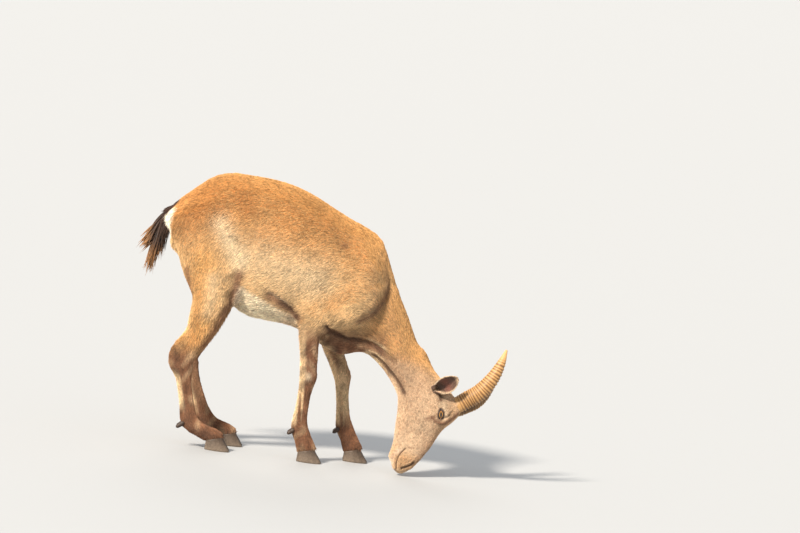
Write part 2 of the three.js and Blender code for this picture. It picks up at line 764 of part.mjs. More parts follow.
// One claw of a cloven hoof, flat on the ground, with its inner side toward the middle of the foot
function makeClaw([x, y], side, splay) {
  const [toe, heel, count] = [46, -24, 12];
  // height, shrink of the toe, shrink of the heel, width
  const levels = [[0, 0, 0, 0.94], [3, 0, -1, 1], [16, 9, 0, 0.98], [30, 19, 2, 0.92], [52, 30, 5, 0.84]];
  const rings = levels.map(([height, cutToe, cutHeel, wide]) => {
    const reach = (toe - cutToe - heel - cutHeel) / 2;
    const middle = (toe - cutToe + heel + cutHeel) / 2;
    const points = [];
    for (let j = 0; j < count; j++) {
      const angle = (-2 * Math.PI * j) / count;
      const [along, out] = [Math.cos(angle), Math.sin(angle)];
      const narrow = (1 - 0.34 * Math.max(0, along) ** 2) * wide * clawWidth;
      const across = side * 2.4 + side * narrow * (0.42 + (out * side > 0 ? 0.6 : 0.42) * out * side);
      points.push(v(middle + reach * along, across, height));
    }
    return points;
  });
  const turn = new THREE.Matrix4().makeRotationZ(side * splay);
  const place = (p) => p.applyMatrix4(turn).add(v(x, y, 0));
  rings.forEach((ring) => ring.forEach(place));
  return skinOver(rings, place(v(10, side * 12, 0)), place(v(0, side * 12, 52)));
}

function makeDewclaw([x, y, z], side) {
  const rows = [[x - 12, y + side * 9, z + 4, 8, 8, 7], [x - 30, y + side * 14, z - 10, 6, 6, 6]];
  const mass = new Mass(rows, { ends: [1, 1.5], across: sideways });
  return wrap((p) => mass.field(p), mass, { from: 0, to: 1, rings: 3, sides: 8, reach: 20, domes: [1, 1] });
}

const legCuts = { hind: 232, fore: 214 }; // heights of the cuts under the hock and the knee
const splay = { hind: 0.1, fore: 0.05 };
const everywhere = 900;
const span = (low, high) => {
  const outline = [[-everywhere, low], [everywhere, low], [everywhere, high], [-everywhere, high]];
  return slab(outline, -everywhere, everywhere);
};
for (const [name, limb] of Object.entries(limbs)) {
  const [kind, sideName] = name.split("_");
  const joints = (kind === "hind" ? hindJoints : foreJoints)[sideName];
  const [fetlock, coronet] = joints.slice(-3);
  const count = limb.rows.length - 1;
  const rounds = { from: 0.2, to: count, rings: count * 2, sides: 13, reach: 110 };
  const whole = wrap(flesh, limb, rounds);
  const clear = wrap((p) => flesh(p) - gap, limb, rounds);
  const cut = legCuts[kind];
  const upper = whole.intersect(legBlock(name, gap)).intersect(span(cut, everywhere));
  addPart(name + "_leg", upper, coatColour);
  const cannon = whole.intersect(span(-10, cut - gap)).subtract(underCoronet(coronet, 0));
  addPart(name + "_cannon", cannon, legColour);
  for (const [claw, side] of [["outer", Math.sign(coronet[1])], ["inner", -Math.sign(coronet[1])]]) {
    const hoof = makeClaw(coronet, side, splay[kind]).intersect(underCoronet(coronet, gap));
    addPart(name + "_claw_" + claw, hoof, hoofColour);
    addPart(name + "_dewclaw_" + claw, makeDewclaw(fetlock, side).subtract(clear), hoofColour);
  }
}

// The tail: a short dock under flat locks of hair that hang over one another and end in two wisps
function makeTail() {
  const dockRows = [
    [-440, 0, 660, 14, 14, 17],
    [-470, 0, 649, 13, 13, 17],
    [-483, 0, 622, 11, 11, 15],
    [-488, 0, 590, 9, 9, 13],
    [-490, 0, 560, 5, 5, 9],
  ];
  const dock = new Mass(dockRows, { ends: [1, 1] });
  const tiers = [
    // place on the dock, locks round it, length, lean of the tips to the rear
    [1.4, 6, 66, 6],
    [2.1, 6, 70, 8],
    [2.8, 6, 74, 8],
    [3.6, 5, 70, 10],
  ];
  const locks = [];
  for (const [tier, [place, count, length, lean]] of tiers.entries()) {
    const root = dock.ring(place);
    for (let i = 0; i < count; i++) {
      const turn = ((i + tier / 2) * 2 * Math.PI) / count;
      const [rear, aside] = [Math.cos(turn), Math.sin(turn)];
      const start = root.centre.clone().add(v(-rear * root.upper * 0.55, aside * root.side * 0.55, 6));
      const drop = length * (1 + 0.1 * Math.sin(3 * i + tier));
      const middle = v(-rear * 5 - lean * 0.3, aside * 5, -drop * 0.5);
      locks.push([start, middle, v(-rear * 2 - lean, aside * 3, -drop), turn]);
    }
  }
  // the two wisps
  locks.push([v(-489, 3, 590), v(-9, 1, -32), v(-43, 4, -54), 0]);
  locks.push([v(-488, -3, 556), v(-6, -1, -42), v(-18, -3, -84), 0.4]);
  const rings = { from: 0, to: 4, rings: 9, sides: 10, reach: 40, domes: [1, 1] };
  let tail = wrap((p) => dock.field(p), dock, rings);
  for (const [start, middle, end, turn] of locks) {
    const rows = [
      [...start, 3, 3, 8],
      [...middle.add(start), 3.6, 3.6, 9.5],
      [...end.add(start), 1.1, 1.1, 2.6],
    ];
    const lock = new Mass(rows, { across: v(Math.sin(turn), Math.cos(turn), 0), ends: [1, 1] });
    tail = tail.add(wrap((p) => lock.field(p), lock, { from: 0, to: 2, rings: 3, sides: 5, reach: 20 }));
  }
  return tail;
}

const clearOfRump = wrap((p) => flesh(p) - gap - 0.4, trunk, trunkRings(8));
addPart("tail", makeTail().subtract(clearOfRump), tailColour);

const box = new THREE.Box3().setFromObject(animal);
const middle = box.getCenter(v(0, 0, 0));
animal.position.set(-middle.x, -middle.y, -box.min.z);

export default animal;
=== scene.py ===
import math

import bmesh
import bpy
import numpy as np
from mathutils import Matrix, Vector


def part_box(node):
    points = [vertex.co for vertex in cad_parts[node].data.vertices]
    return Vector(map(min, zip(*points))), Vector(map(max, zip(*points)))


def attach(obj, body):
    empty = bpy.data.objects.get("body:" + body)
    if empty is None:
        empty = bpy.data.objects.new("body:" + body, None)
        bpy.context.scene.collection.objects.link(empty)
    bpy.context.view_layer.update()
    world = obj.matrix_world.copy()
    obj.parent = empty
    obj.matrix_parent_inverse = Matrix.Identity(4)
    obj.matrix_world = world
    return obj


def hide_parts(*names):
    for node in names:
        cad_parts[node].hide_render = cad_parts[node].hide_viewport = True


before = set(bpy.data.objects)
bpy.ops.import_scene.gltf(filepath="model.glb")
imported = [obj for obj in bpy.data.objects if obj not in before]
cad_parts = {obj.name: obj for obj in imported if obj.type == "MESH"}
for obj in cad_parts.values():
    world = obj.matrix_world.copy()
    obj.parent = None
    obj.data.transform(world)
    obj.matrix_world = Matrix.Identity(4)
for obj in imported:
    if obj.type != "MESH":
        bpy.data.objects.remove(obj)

# An alpine ibex with its head at the ground: skin, short coat, horns, hooves, eyes, ears and tail.
# Lengths in the settings are millimetres in the model's own side view unless a name says otherwise.
mm = 0.001
modelShift = np.array([5.157, -1.743, 0.0])  # from the settings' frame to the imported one
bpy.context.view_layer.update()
rng = np.random.default_rng(12)
sides = {"right": -1, "left": 1}
legNames = [a + "_" + b for a in ("hind", "fore") for b in sides]
print("frame loaded")


# Small helpers on arrays of points

def toModel(points):
    return (np.asarray(points, float) + modelShift) * mm


def fromModel(points):
    return np.asarray(points, float) / mm - modelShift


def ramp(values, low, high):
    t = np.clip((values - low) / (high - low), 0, 1)
    return t * t * (3 - 2 * t)


def unit(vectors):
    return vectors / np.maximum(np.linalg.norm(vectors, axis=-1, keepdims=True), 1e-9)


def smoothCurve(points, steps):
    # a Catmull-Rom curve through rows of numbers
    rows = np.asarray(points, float)
    padded = np.vstack([2 * rows[0] - rows[1], rows, 2 * rows[-1] - rows[-2]])
    places = np.linspace(0, len(rows) - 1, steps)
    index = np.minimum(places.astype(int), len(rows) - 2)
    t = (places - index)[:, None]
    a, b, c, d = (padded[index + k] for k in range(4))
    return b + 0.5 * t * (c - a + t * (2 * a - 5 * b + 4 * c - d + t * (3 * (b - c) + d - a)))


def distanceTo(points, curve):
    # least distance of each point to a drawn line, with the share along it
    best = np.full(len(points), 1e9)
    share = np.zeros(len(points))
    count = len(curve) - 1
    for i in range(count):
        a, b = curve[i], curve[i + 1]
        t = np.clip((points - a) @ (b - a) / ((b - a) @ (b - a)), 0, 1)
        away = np.linalg.norm(points - a - t[:, None] * (b - a), axis=1)
        closer = away < best
        best[closer] = away[closer]
        share[closer] = (i + t[closer]) / count
    return best, share


def nearLine(points, line, width, steps=16):
    # one on the line, fading to nothing a few widths away; a coat line goes by its name
    drawn = coatLines[line] if isinstance(line, str) else line
    away, _ = distanceTo(points, smoothCurve(drawn, steps))
    return np.exp(-((away / width) ** 2))


# The head's own frame: x toward the nose, y to the left, z up out of the forehead
headPlace = {"at": (355, -32, 162), "nose": (-0.366, -0.398, -0.842), "left": (-0.105, 0.916, -0.387)}
headNose = unit(np.array(headPlace["nose"]))
headUp = unit(np.cross(headNose, headPlace["left"]))
headLeft = np.cross(headUp, headNose)
headAxes = np.array([headNose, headLeft, headUp])


def onHead(points):
    return np.asarray(points, float) @ headAxes + np.array(headPlace["at"])


def inHead(points):
    return (points - np.array(headPlace["at"])) @ headAxes.T


# Meshes from and to arrays

def meshOf(name, points, faces):
    mesh = bpy.data.meshes.new(name)
    width = faces.shape[1]
    mesh.vertices.add(len(points))
    mesh.vertices.foreach_set("co", np.ascontiguousarray(points, np.float32).ravel())
    mesh.loops.add(faces.size)
    mesh.loops.foreach_set("vertex_index", np.ascontiguousarray(faces, np.int32).ravel())
    mesh.polygons.add(len(faces))
    mesh.polygons.foreach_set("loop_start", np.arange(0, faces.size, width, dtype=np.int32))
    mesh.update(calc_edges=True)
    return mesh


def gathered(source, key, width, kind=np.float32):
    values = np.empty(len(source) * width, kind)
    source.foreach_get(key, values)
    return values.reshape(-1, width)


def pointsOf(mesh):
    return gathered(mesh.vertices, "co", 3).astype(float)


def placesOf(mesh):
    return fromModel(pointsOf(mesh))


def normalsOf(mesh):
    return gathered(mesh.vertex_normals, "vector", 3).astype(float)


def setPoints(mesh, points):
    mesh.vertices.foreach_set("co", np.ascontiguousarray(points, np.float32).ravel())
    mesh.update()


def setBake(mesh, places):
    # the bake's own map, with one place for each corner of each face
    layer = mesh.uv_layers.new(name="OFBake")
    layer.data.foreach_set("uv", np.ascontiguousarray(places, np.float32).ravel())


def meshFrom(solid, name):
    mesh = bpy.data.meshes.new(name)
    solid.to_mesh(mesh)
    solid.free()
    return mesh


def addObject(name, data):
    holder = bpy.data.objects.new(name, data)
    bpy.context.collection.objects.link(holder)
    return holder


def addPiece(name, mesh, material, replaced=(), smooth=True):
    piece = addObject(name, mesh)
    mesh.materials.clear()
    mesh.materials.append(material)
    mesh.polygons.foreach_set("use_smooth", np.full(len(mesh.polygons), smooth))
    mesh.update()
    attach(piece, "root")
    if replaced:
        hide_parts(*replaced)
    return piece


def solidCopy(names, grow=0.0):
    # the nodes' solids in one bmesh, swollen a little so that neighbours overlap
    solid = bmesh.new()
    for name in names:
        solid.from_mesh(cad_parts[name].data)
    bmesh.ops.remove_doubles(solid, verts=solid.verts, dist=1e-5)
    solid.normal_update()
    for vert in solid.verts:
        vert.co += vert.normal * grow * mm
    return solid


def remeshed(solid, voxel):
    # one closed surface round everything in the bmesh
    mesh = meshFrom(solid, "wrap")
    holder = addObject("wrap", mesh)
    modifier = holder.modifiers.new("wrap", "REMESH")
    modifier.mode = "VOXEL"
    modifier.voxel_size = voxel * mm
    deps = bpy.context.evaluated_depsgraph_get()
    result = bpy.data.meshes.new_from_object(holder.evaluated_get(deps))
    bpy.data.objects.remove(holder)
    bpy.data.meshes.remove(mesh)
    return result


def relaxed(mesh, rounds, share=None, pulls=(0.5, -0.52)):
    # smooths, by the usual pulls without shrinking; share is how far each point follows
    points = pointsOf(mesh)
    a, b = gathered(mesh.edges, "vertices", 2, np.int32).T
    count = len(points)
    valence = np.bincount(a, minlength=count) + np.bincount(b, minlength=count)
    weight = np.ones(count) if share is None else share
    for _ in range(rounds):
        for pull in pulls:
            around = np.empty_like(points)
            for axis in range(3):
                column = points[:, axis]
                sums = np.bincount(a, column[b], count) + np.bincount(b, column[a], count)
                around[:, axis] = sums / valence
            points += (pull * weight)[:, None] * (around - points)
    setPoints(mesh, points)
    return mesh


# Shared shader groups

def makeGroup(name, inputs, outputs):
    group = bpy.data.node_groups.new(name, "ShaderNodeTree")
    for title, kind, value in inputs:
        socket = group.interface.new_socket(title, in_out="INPUT", socket_type=kind)
        socket.default_value = value
    for title, kind in outputs:
        group.interface.new_socket(title, in_out="OUTPUT", socket_type=kind)
    start = group.nodes.new("NodeGroupInput")
    end = group.nodes.new("NodeGroupOutput")
    return group, start, end


def addNode(tree, kind, inputs=None, **settings):
    node = tree.nodes.new(kind)
    for key, value in settings.items():
        setattr(node, key, value)
    for key, value in (inputs or {}).items():
        if isinstance(value, bpy.types.NodeSocket):
            tree.links.new(value, node.inputs[key])
        else:
            node.inputs[key].default_value = value
    return node


def addNoise(tree, place, scale, detail, roughness=0.5):
    values = {"Vector": place, "Scale": scale, "Detail": detail, "Roughness": roughness}
    return addNode(tree, "ShaderNodeTexNoise", values).outputs["Fac"]


def addMath(tree, operation, *values):
    return addNode(tree, "ShaderNodeMath", dict(enumerate(values)), operation=operation).outputs[0]


def scaled(tree, colour, gain):
    return addNode(tree, "ShaderNodeVectorMath", {0: colour, "Scale": gain}, operation="SCALE").outputs[0]


def grainGroup():
    # fine speckle over a colour, and a height for bump
    group, start, end = makeGroup(
        "speckle",
        [("Color", "NodeSocketColor", (0.5, 0.5, 0.5, 1)), ("Scale", "NodeSocketFloat", 900.0),
         ("Depth", "NodeSocketFloat", 0.3)],
        [("Color", "NodeSocketColor"), ("Height", "NodeSocketFloat")])
    place = addNode(group, "ShaderNodeTexCoord").outputs["Object"]
    fine = addNoise(group, place, start.outputs["Scale"], 3.0)
    broad = addNoise(group, place, 26.0, 4.0)
    clump = addNoise(group, place, 190.0, 3.0, 0.7)
    strong = addMath(group, "MULTIPLY_ADD", clump, 1.8, broad)
    level = addMath(group, "SUBTRACT", addMath(group, "ADD", fine, strong), 1.9)
    gain = addMath(group, "MULTIPLY_ADD", level, start.outputs["Depth"], 1.0)
    group.links.new(scaled(group, start.outputs["Color"], gain), end.inputs["Color"])
    group.links.new(fine, end.inputs["Height"])
    return group


speckle = grainGroup()


def newMaterial(name, roughness, **values):
    material = bpy.data.materials.new(name)
    material.use_nodes = True
    shader = material.node_tree.nodes["Principled BSDF"]
    shader.inputs["Roughness"].default_value = roughness
    for key, value in values.items():
        shader.inputs[key].default_value = value
    return material, material.node_tree, shader


def speckled(tree, shader, colour, scale, depth, bump=0.0, height=0.001):
    # a colour broken up by speckle, with the fine grain raised
    grain = addNode(tree, "ShaderNodeGroup", {"Color": colour, "Scale": scale, "Depth": depth},
                    node_tree=speckle)
    tree.links.new(grain.outputs["Color"], shader.inputs["Base Color"])
    if bump:
        lift = addNode(tree, "ShaderNodeBump",
                       {"Height": grain.outputs["Height"], "Strength": bump, "Distance": height})
        tree.links.new(lift.outputs["Normal"], shader.inputs["Normal"])


def hairMaterial(name, scale, depth, bump, roughness=0.72):
    # colour from the piece's own markings
    material, tree, shader = newMaterial(
        name, roughness, **{"Sheen Weight": 0.12, "Specular IOR Level": 0.25})
    tone = addNode(tree, "ShaderNodeAttribute", attribute_name="tone")
    speckled(tree, shader, tone.outputs["Color"], scale, depth, bump)
    return material


# Eyes: frames as in the solids, with x along the slit and z out of the socket
eye = {"radius": 16.5, "centre": (-6, 34.5, -4), "out": (0.32, 0.92, 0.2), "slit": (0.86, 0, 0.5),
       "half": 15.5, "opening": 7.0, "lid": 2.2}


def eyeFrame(side):
    out = unit(np.array(eye["out"]) * (1, side, 1))
    slit = np.array(eye["slit"], float)
    slit = unit(slit - slit @ out * out)
    lid = np.cross(out, slit)
    axes = np.array([slit, lid, out]) @ headAxes
    return axes, onHead(np.array([eye["centre"]]) * (1, side, 1))[0]


def almondReach(u):
    # half height of the opening at a place along the slit
    return eye["opening"] * np.clip(1 - (np.abs(u) / eye["half"]) ** 2, 0, None)


# Markings of the coat, with painted shade in its folds and hollows, the same for skin and tufts. Colours are
# linear.
coatTones = {
    "back": (0.63, 0.325, 0.108),
    "flank": (0.70, 0.47, 0.24),
    "croup": (0.51, 0.225, 0.064),
    "neck": (0.62, 0.34, 0.13),
    "throat": (0.50, 0.31, 0.18),
    "pale": (0.90, 0.76, 0.54),
    "gold": (0.80, 0.45, 0.155),
    "belly": (0.90, 0.73, 0.51),
    "rump": (0.88, 0.78, 0.62),
    "leg": (0.235, 0.098, 0.05),
    "legPale": (0.84, 0.62, 0.37),
    "dark": (0.085, 0.036, 0.018),
    "face": (0.68, 0.48, 0.31),
    "muzzle": (0.66, 0.42, 0.22),
    "lip": (0.66, 0.50, 0.37),
    "earInside": (0.12, 0.055, 0.04),
    "earFlesh": (0.42, 0.17, 0.12),
    "tail": (0.045, 0.019, 0.012),
}
tailDock = [(-440, 0, 660), (-470, 0, 649), (-483, 0, 622), (-488, 0, 592), (-490, 0, 566)]
coatLines = {
    "shoulderEdge": [(139, 642), (159, 594), (168, 547), (169, 499), (143, 440), (104, 415)],
    "neckGroove": [(14, 386), (24, 373), (42, 367), (57, 361), (83, 354), (100, 356), (129, 352),
                   (164, 338), (192, 320), (214, 308)],
    "throatBand": [(117, 337), (152, 328), (186, 307), (217, 280), (244, 250)],
    "throatEdge": [(156, 313), (182, 296), (208, 275), (229, 255), (251, 225)],
    "flankFold": [(-262, 440), (-248, 470), (-230, 510), (-222, 560)],
    "thighFront": [(-246, 500), (-256, 436), (-272, 397), (-293, 346), (-320, 291)],
    "thighRear": [(-396, 500), (-386, 464), (-376, 428), (-376, 386), (-393, 330), (-415, 282)],
    "elbowFold": [(-200, 474), (-153, 452), (-122, 436), (-95, 422), (-70, 400)],
    "mouth": [(190, -34), (174, -42), (152, -45), (127, -40)],
    "nostril": [(182, -21), (172, -12), (162, -5), (151, -1)],
    "brow": [(19, -19), (23, 0), (14, 18), (-6, 30), (-32, 37)],
    "earHollow": [(-70, -48), (-54, -32), (-42, -22)],
    "tear": [(12, -14), (22, -22), (30, -30)],
}


def painted(colour, *marks):
    # marks laid over one another in turn, each the name of a tone and its share
    for name, share in marks:
        colour = colour + (np.array(coatTones[name]) - colour) * share[:, None]
    return colour


def isHead(p):
    q = inHead(p)
    return ramp(q[:, 0], -120, -70) * ramp(p[:, 0], 170, 200) * ramp(-p[:, 2], -345, -300)


def isLowLeg(p):
    return ramp(-p[:, 2], -330, -240) * (1 - ramp(p[:, 0], 175, 200))


def coatColours(p, n):
    # p in the settings' frame, n the outward normals
    x, y, z = p.T
    side = np.column_stack([x, z])
    head = isHead(p)
    outer = ramp(np.abs(y), 18, 40)
    body = (1 - head) * outer
    colour = painted(
        np.tile(coatTones["flank"], (len(p), 1)),
        ("back", 0.9 * ramp(n[:, 2], -0.05, 0.7)),
        ("back", 0.6 * ramp(z, 500, 650)),
        ("croup", 0.75 * ramp(-x, 230, 420) * ramp(z, 540, 690)),
        ("croup", 0.55 * nearLine(side, [(-262, 716), (-246, 684)], 26)),
        ("neck", 0.8 * ramp(x - 0.45 * (z - 430), 110, 180)),
        ("pale", 0.6 * nearLine(side, [(-312, 634), (-283, 587), (-250, 540)], 30)),
        ("pale", 0.35 * nearLine(side, [(-200, 560), (-120, 540), (-40, 520)], 60)),
        ("gold", 0.7 * nearLine(side, [(-350, 520), (-338, 430), (-330, 360), (-352, 290)], 44)),
        ("pale", 0.4 * nearLine(side, [(-318, 480), (-316, 430), (-318, 390)], 22)))
    # under the body
    level = z - 470 + 0.43 * (x + 240)
    belly = ramp(-level, -6, 10) * ramp(x, -262, -244) * ramp(-x, 60, 84) * ramp(z, 300, 330)
    under = ramp(-n[:, 2], 0.55, 0.85) * ramp(z, 300, 340) * ramp(-x, -40, 60)
    # painted shade in the groin, between the thighs and under the belly
    groinShade = np.exp(-(((x + 272) / 26) ** 2 + ((z - 404) / 46) ** 2)) * ramp(-np.abs(y), -96, -70)
    brisket = ramp(-z, -400, -350) * ramp(x, -75, -35) * ramp(-x, -120, -50) * ramp(z, 280, 300)
    streaks = 0.5 + 0.5 * np.sin(0.55 * (x + 0.45 * z))
    colour = painted(
        colour,
        ("belly", belly),
        ("belly", 0.8 * under),
        ("dark", 0.4 * groinShade),
        ("leg", 0.12 * brisket),
        ("pale", 0.5 * streaks * nearLine(side, [(22, 362), (38, 342), (60, 326)], 15)))
    # lines of the neck, shoulder and thigh; the dark in the neck's groove, along the shoulder's edge and in
    # the elbow's fold is painted shade
    patch = np.exp(-(((x - 35) / 13) ** 2 + ((z - 615) / 11) ** 2)) * ramp(-y, 20, 50)
    colour = painted(
        colour,
        ("leg", 0.3 * nearLine(side, coatLines["neckGroove"][:6], 15) * body),
        ("leg", 0.6 * nearLine(side, "shoulderEdge", 12) * body),
        ("dark", 0.35 * nearLine(side, coatLines["shoulderEdge"][2:], 6) * body),
        ("leg", 0.8 * nearLine(side, "thighFront", 13) * outer),
        ("leg", 0.7 * nearLine(side, "thighRear", 9) * outer),
        ("leg", 0.75 * nearLine(side, coatLines["elbowFold"][1:], 14) * outer),
        ("dark", 0.8 * nearLine(side, coatLines["elbowFold"][2:], 7) * outer),
        ("leg", 0.6 * patch))
    # rump and dock
    rump = ramp(-x - 0.12 * (656 - z), 441, 449) * ramp(-np.abs(y), -74, -58)
    rump = rump * ramp(z, 545, 585) * ramp(-z, -664, -654)
    away, _ = distanceTo(p, smoothCurve(tailDock, 16))
    dock = ramp(-np.abs(y), -15, -8) * ramp(-x, 440, 452) * ramp(z, 590, 620)
    colour = painted(colour, ("rump", rump), ("tail", np.maximum(ramp(-away, -26, -19), dock)))
    colour = legColours(colour, p, n, outer)
    colour = colour + (faceColours(p) - colour) * head[:, None]
    # the band along the throat between two dark lines of painted shade, along the throat's edge and in the
    # neck's groove, and a fine brown speckle
    cells = np.floor(p / (4.6, 4.6, 4.6)) @ (12.9898, 78.233, 37.719)
    chance = np.modf(np.abs(np.sin(cells) * 43758.5453))[0]
    return painted(
        colour,
        ("throat", 0.7 * nearLine(side, "throatBand", 13) * outer),
        ("dark", 0.85 * nearLine(side, "throatEdge", 6.5) * ramp(np.abs(y), 4, 16)),
        ("dark", 0.95 * nearLine(side, "neckGroove", 7) * outer),
        ("leg", (0.13 + 0.23 * head) * ramp(chance, 0.6, 0.95)))


def legColours(colour, p, n, outer):
    x, y, z = p.T
    side = np.column_stack([x, z])
    isLeg = 1 - ramp(x, 175, 200)
    fore = ramp(x, -130, -100)
    hind = 1 - fore
    leg = np.maximum(ramp(-z, -318, -238) * hind, ramp(-z, -404, -330) * fore) * isLeg
    shin = ramp(n[:, 0], -0.2, 0.6) * nearLine(side, [(-372, 320), (-352, 262)], 16) * outer
    rear = ramp(-n[:, 0], 0.0, 0.4) * ramp(z, 92, 120)
    rear = rear * np.maximum(ramp(-z, -222, -196) * hind, 0.9 * fore)
    farFore = nearLine(side, [(64, 300), (78, 220), (92, 150)], 15) * ramp(y, 20, 50)
    waves = np.sin(0.09 * x + 1.7 * np.sin(0.043 * z) + 0.06 * y)
    mottle = waves * np.sin(0.067 * z + 1.3 * np.sin(0.08 * x))
    inner = ramp(-n[:, 1] * np.sign(y), 0.3, 0.8) * ramp(z, 90, 130) * ramp(-z, -250, -200)
    knee = np.exp(-(((x + 21) / 9) ** 2 + ((z - 243) / 11) ** 2)) * ramp(-y, 60, 80)
    heel = np.exp(-(((z - 92) / 16) ** 2)) * ramp(-n[:, 0], 0.4, 0.8) * isLeg
    crown = ramp(-z, -70, -44) * leg
    return painted(
        colour,
        ("leg", leg * 0.92),
        ("legPale", 0.45 * shin),
        ("legPale", leg * rear * 0.95),
        ("legPale", 0.9 * farFore * isLeg),
        ("legPale", 0.26 * leg * ramp(mottle, 0.1, 0.9)),
        ("dark", 0.45 * leg * ramp(-mottle, 0.1, 0.9)),
        ("legPale", leg * inner * (0.1 + 0.2 * fore)),
        ("belly", 0.8 * knee),
        ("dark", 0.5 * heel * leg),
        ("dark", 0.4 * crown))


def faceColours(p):
    q = inHead(p)
    flat = q[:, [0, 2]]
    wide = np.abs(q[:, 1])
    bridge = [(50, 14), (110, 6), (160, -4)]
    cheek = [(-30, -12), (-10, 8), (2, 12)]
    face = painted(
        np.tile(coatTones["face"], (len(p), 1)),
        ("back", 0.25 * ramp(q[:, 2], -10, 25)),
        ("neck", 0.5 * ramp(-q[:, 0], 40, 110)),
        ("throat", 0.3 * ramp(-q[:, 2], 50, 100)),
        ("muzzle", 0.8 * ramp(q[:, 0], 112, 160)),
        ("leg", 0.34 * nearLine(flat, bridge, 13) * ramp(-wide, -30, -12)),
        ("lip", 0.7 * nearLine(flat, [(186, -50), (165, -58), (140, -52)], 8)),
        ("dark", 0.75 * nearLine(flat, "mouth", 2.6) * ramp(q[:, 0], 118, 132)),
        ("dark", 0.8 * nearLine(flat, "nostril", 4) * ramp(wide, 5, 9)),
        # painted shade along the crease below the eye, under the brow and in the hollow below the ear
        ("leg", 0.4 * nearLine(flat, "tear", 5) * ramp(wide, 18, 25)),
        ("leg", 0.75 * nearLine(flat, "brow", 5) * ramp(wide, 14, 22)),
        ("belly", 0.45 * nearLine(flat, cheek, 8) * ramp(wide, 24, 32)),
        ("dark", 0.85 * nearLine(flat, "earHollow", 8) * ramp(wide, 26, 36)))
    for side in sides.values():
        axes, centre = eyeFrame(side)
        local = (p - centre) @ axes.T
        ring = np.hypot(local[:, 0] / 1.75, local[:, 1]) / 9.6
        shadow = 0.85 * np.exp(-((ring - 0.9) / 0.22) ** 2) * (local[:, 2] > 0) * (ring < 2)
        face = painted(face, ("dark", shadow))
    return face


def setTone(mesh, colours):
    tone = mesh.attributes.new("tone", "FLOAT_COLOR", "POINT")
    full = np.ones((len(colours), 4), np.float32)
    full[:, :3] = np.clip(colours, 0, 1)
    tone.data.foreach_set("color", full.ravel())


# The skin
skinNodes = ["torso", "neck", "head"] + [n + s for n in legNames for s in ("_leg", "_cannon")]
skin = {"voxel": 4.4, "swell": 0.7, "bodyDepth": 4.0, "finerDepth": 1.6}


def refine(mesh, chosen):
    fine = bmesh.new()
    fine.from_mesh(mesh)
    fine.verts.ensure_lookup_table()
    edges = [e for e in fine.edges if chosen[e.verts[0].index] and chosen[e.verts[1].index]]
    bmesh.ops.subdivide_edges(fine, edges=edges, cuts=1, use_grid_fill=True)
    fine.to_mesh(mesh)
    fine.free()
    return mesh


def makeSkin():
    solid = solidCopy(skinNodes, skin["swell"])
    for side in sides.values():
        _, centre = eyeFrame(side)
        bmesh.ops.create_icosphere(solid, subdivisions=3, radius=(eye["radius"] + 1.5) * mm,
                                   matrix=Matrix.Translation(Vector(toModel(centre))))
    for i, centre in enumerate(smoothCurve(tailDock, 14)):
        bmesh.ops.create_icosphere(solid, subdivisions=2, radius=(11 - 0.42 * i) * mm,
                                   matrix=Matrix.Translation(Vector(toModel(centre))))
    mesh = remeshed(solid, skin["voxel"])
    p = placesOf(mesh)
    body = (1 - isHead(p)) * ramp(p[:, 2], 260, 360)
    relaxed(mesh, 26, body)
    relaxed(mesh, 7)
    p = placesOf(mesh)
    nape = nearLine(p[:, [0, 2]], [(225, 470), (262, 400), (300, 320)], 40)
    relaxed(mesh, 40, ramp(nape, 0.3, 0.8), (0.5,))
    refine(mesh, isHead(placesOf(mesh)) > 0.4)
    p = placesOf(mesh)
    q = inHead(p)
    nearEye = np.minimum(*[np.linalg.norm(p - eyeFrame(side)[1], axis=1) for side in sides.values()]) < 30
    muzzle = (isHead(p) > 0.9) & (q[:, 0] > 118)
    refine(mesh, nearEye | muzzle)
    relaxed(mesh, 3, isHead(placesOf(mesh)))
    return mesh


def shifted(name, along, up):
    return [(a + along, b + up) for a, b in coatLines[name]]


def folded(move, points, folds, over=1.0):
    # folds added in turn, each a height, a line, its width and where it shows
    for height, line, width, where in folds:
        move = move + height * nearLine(points, line, width) * where * over
    return move


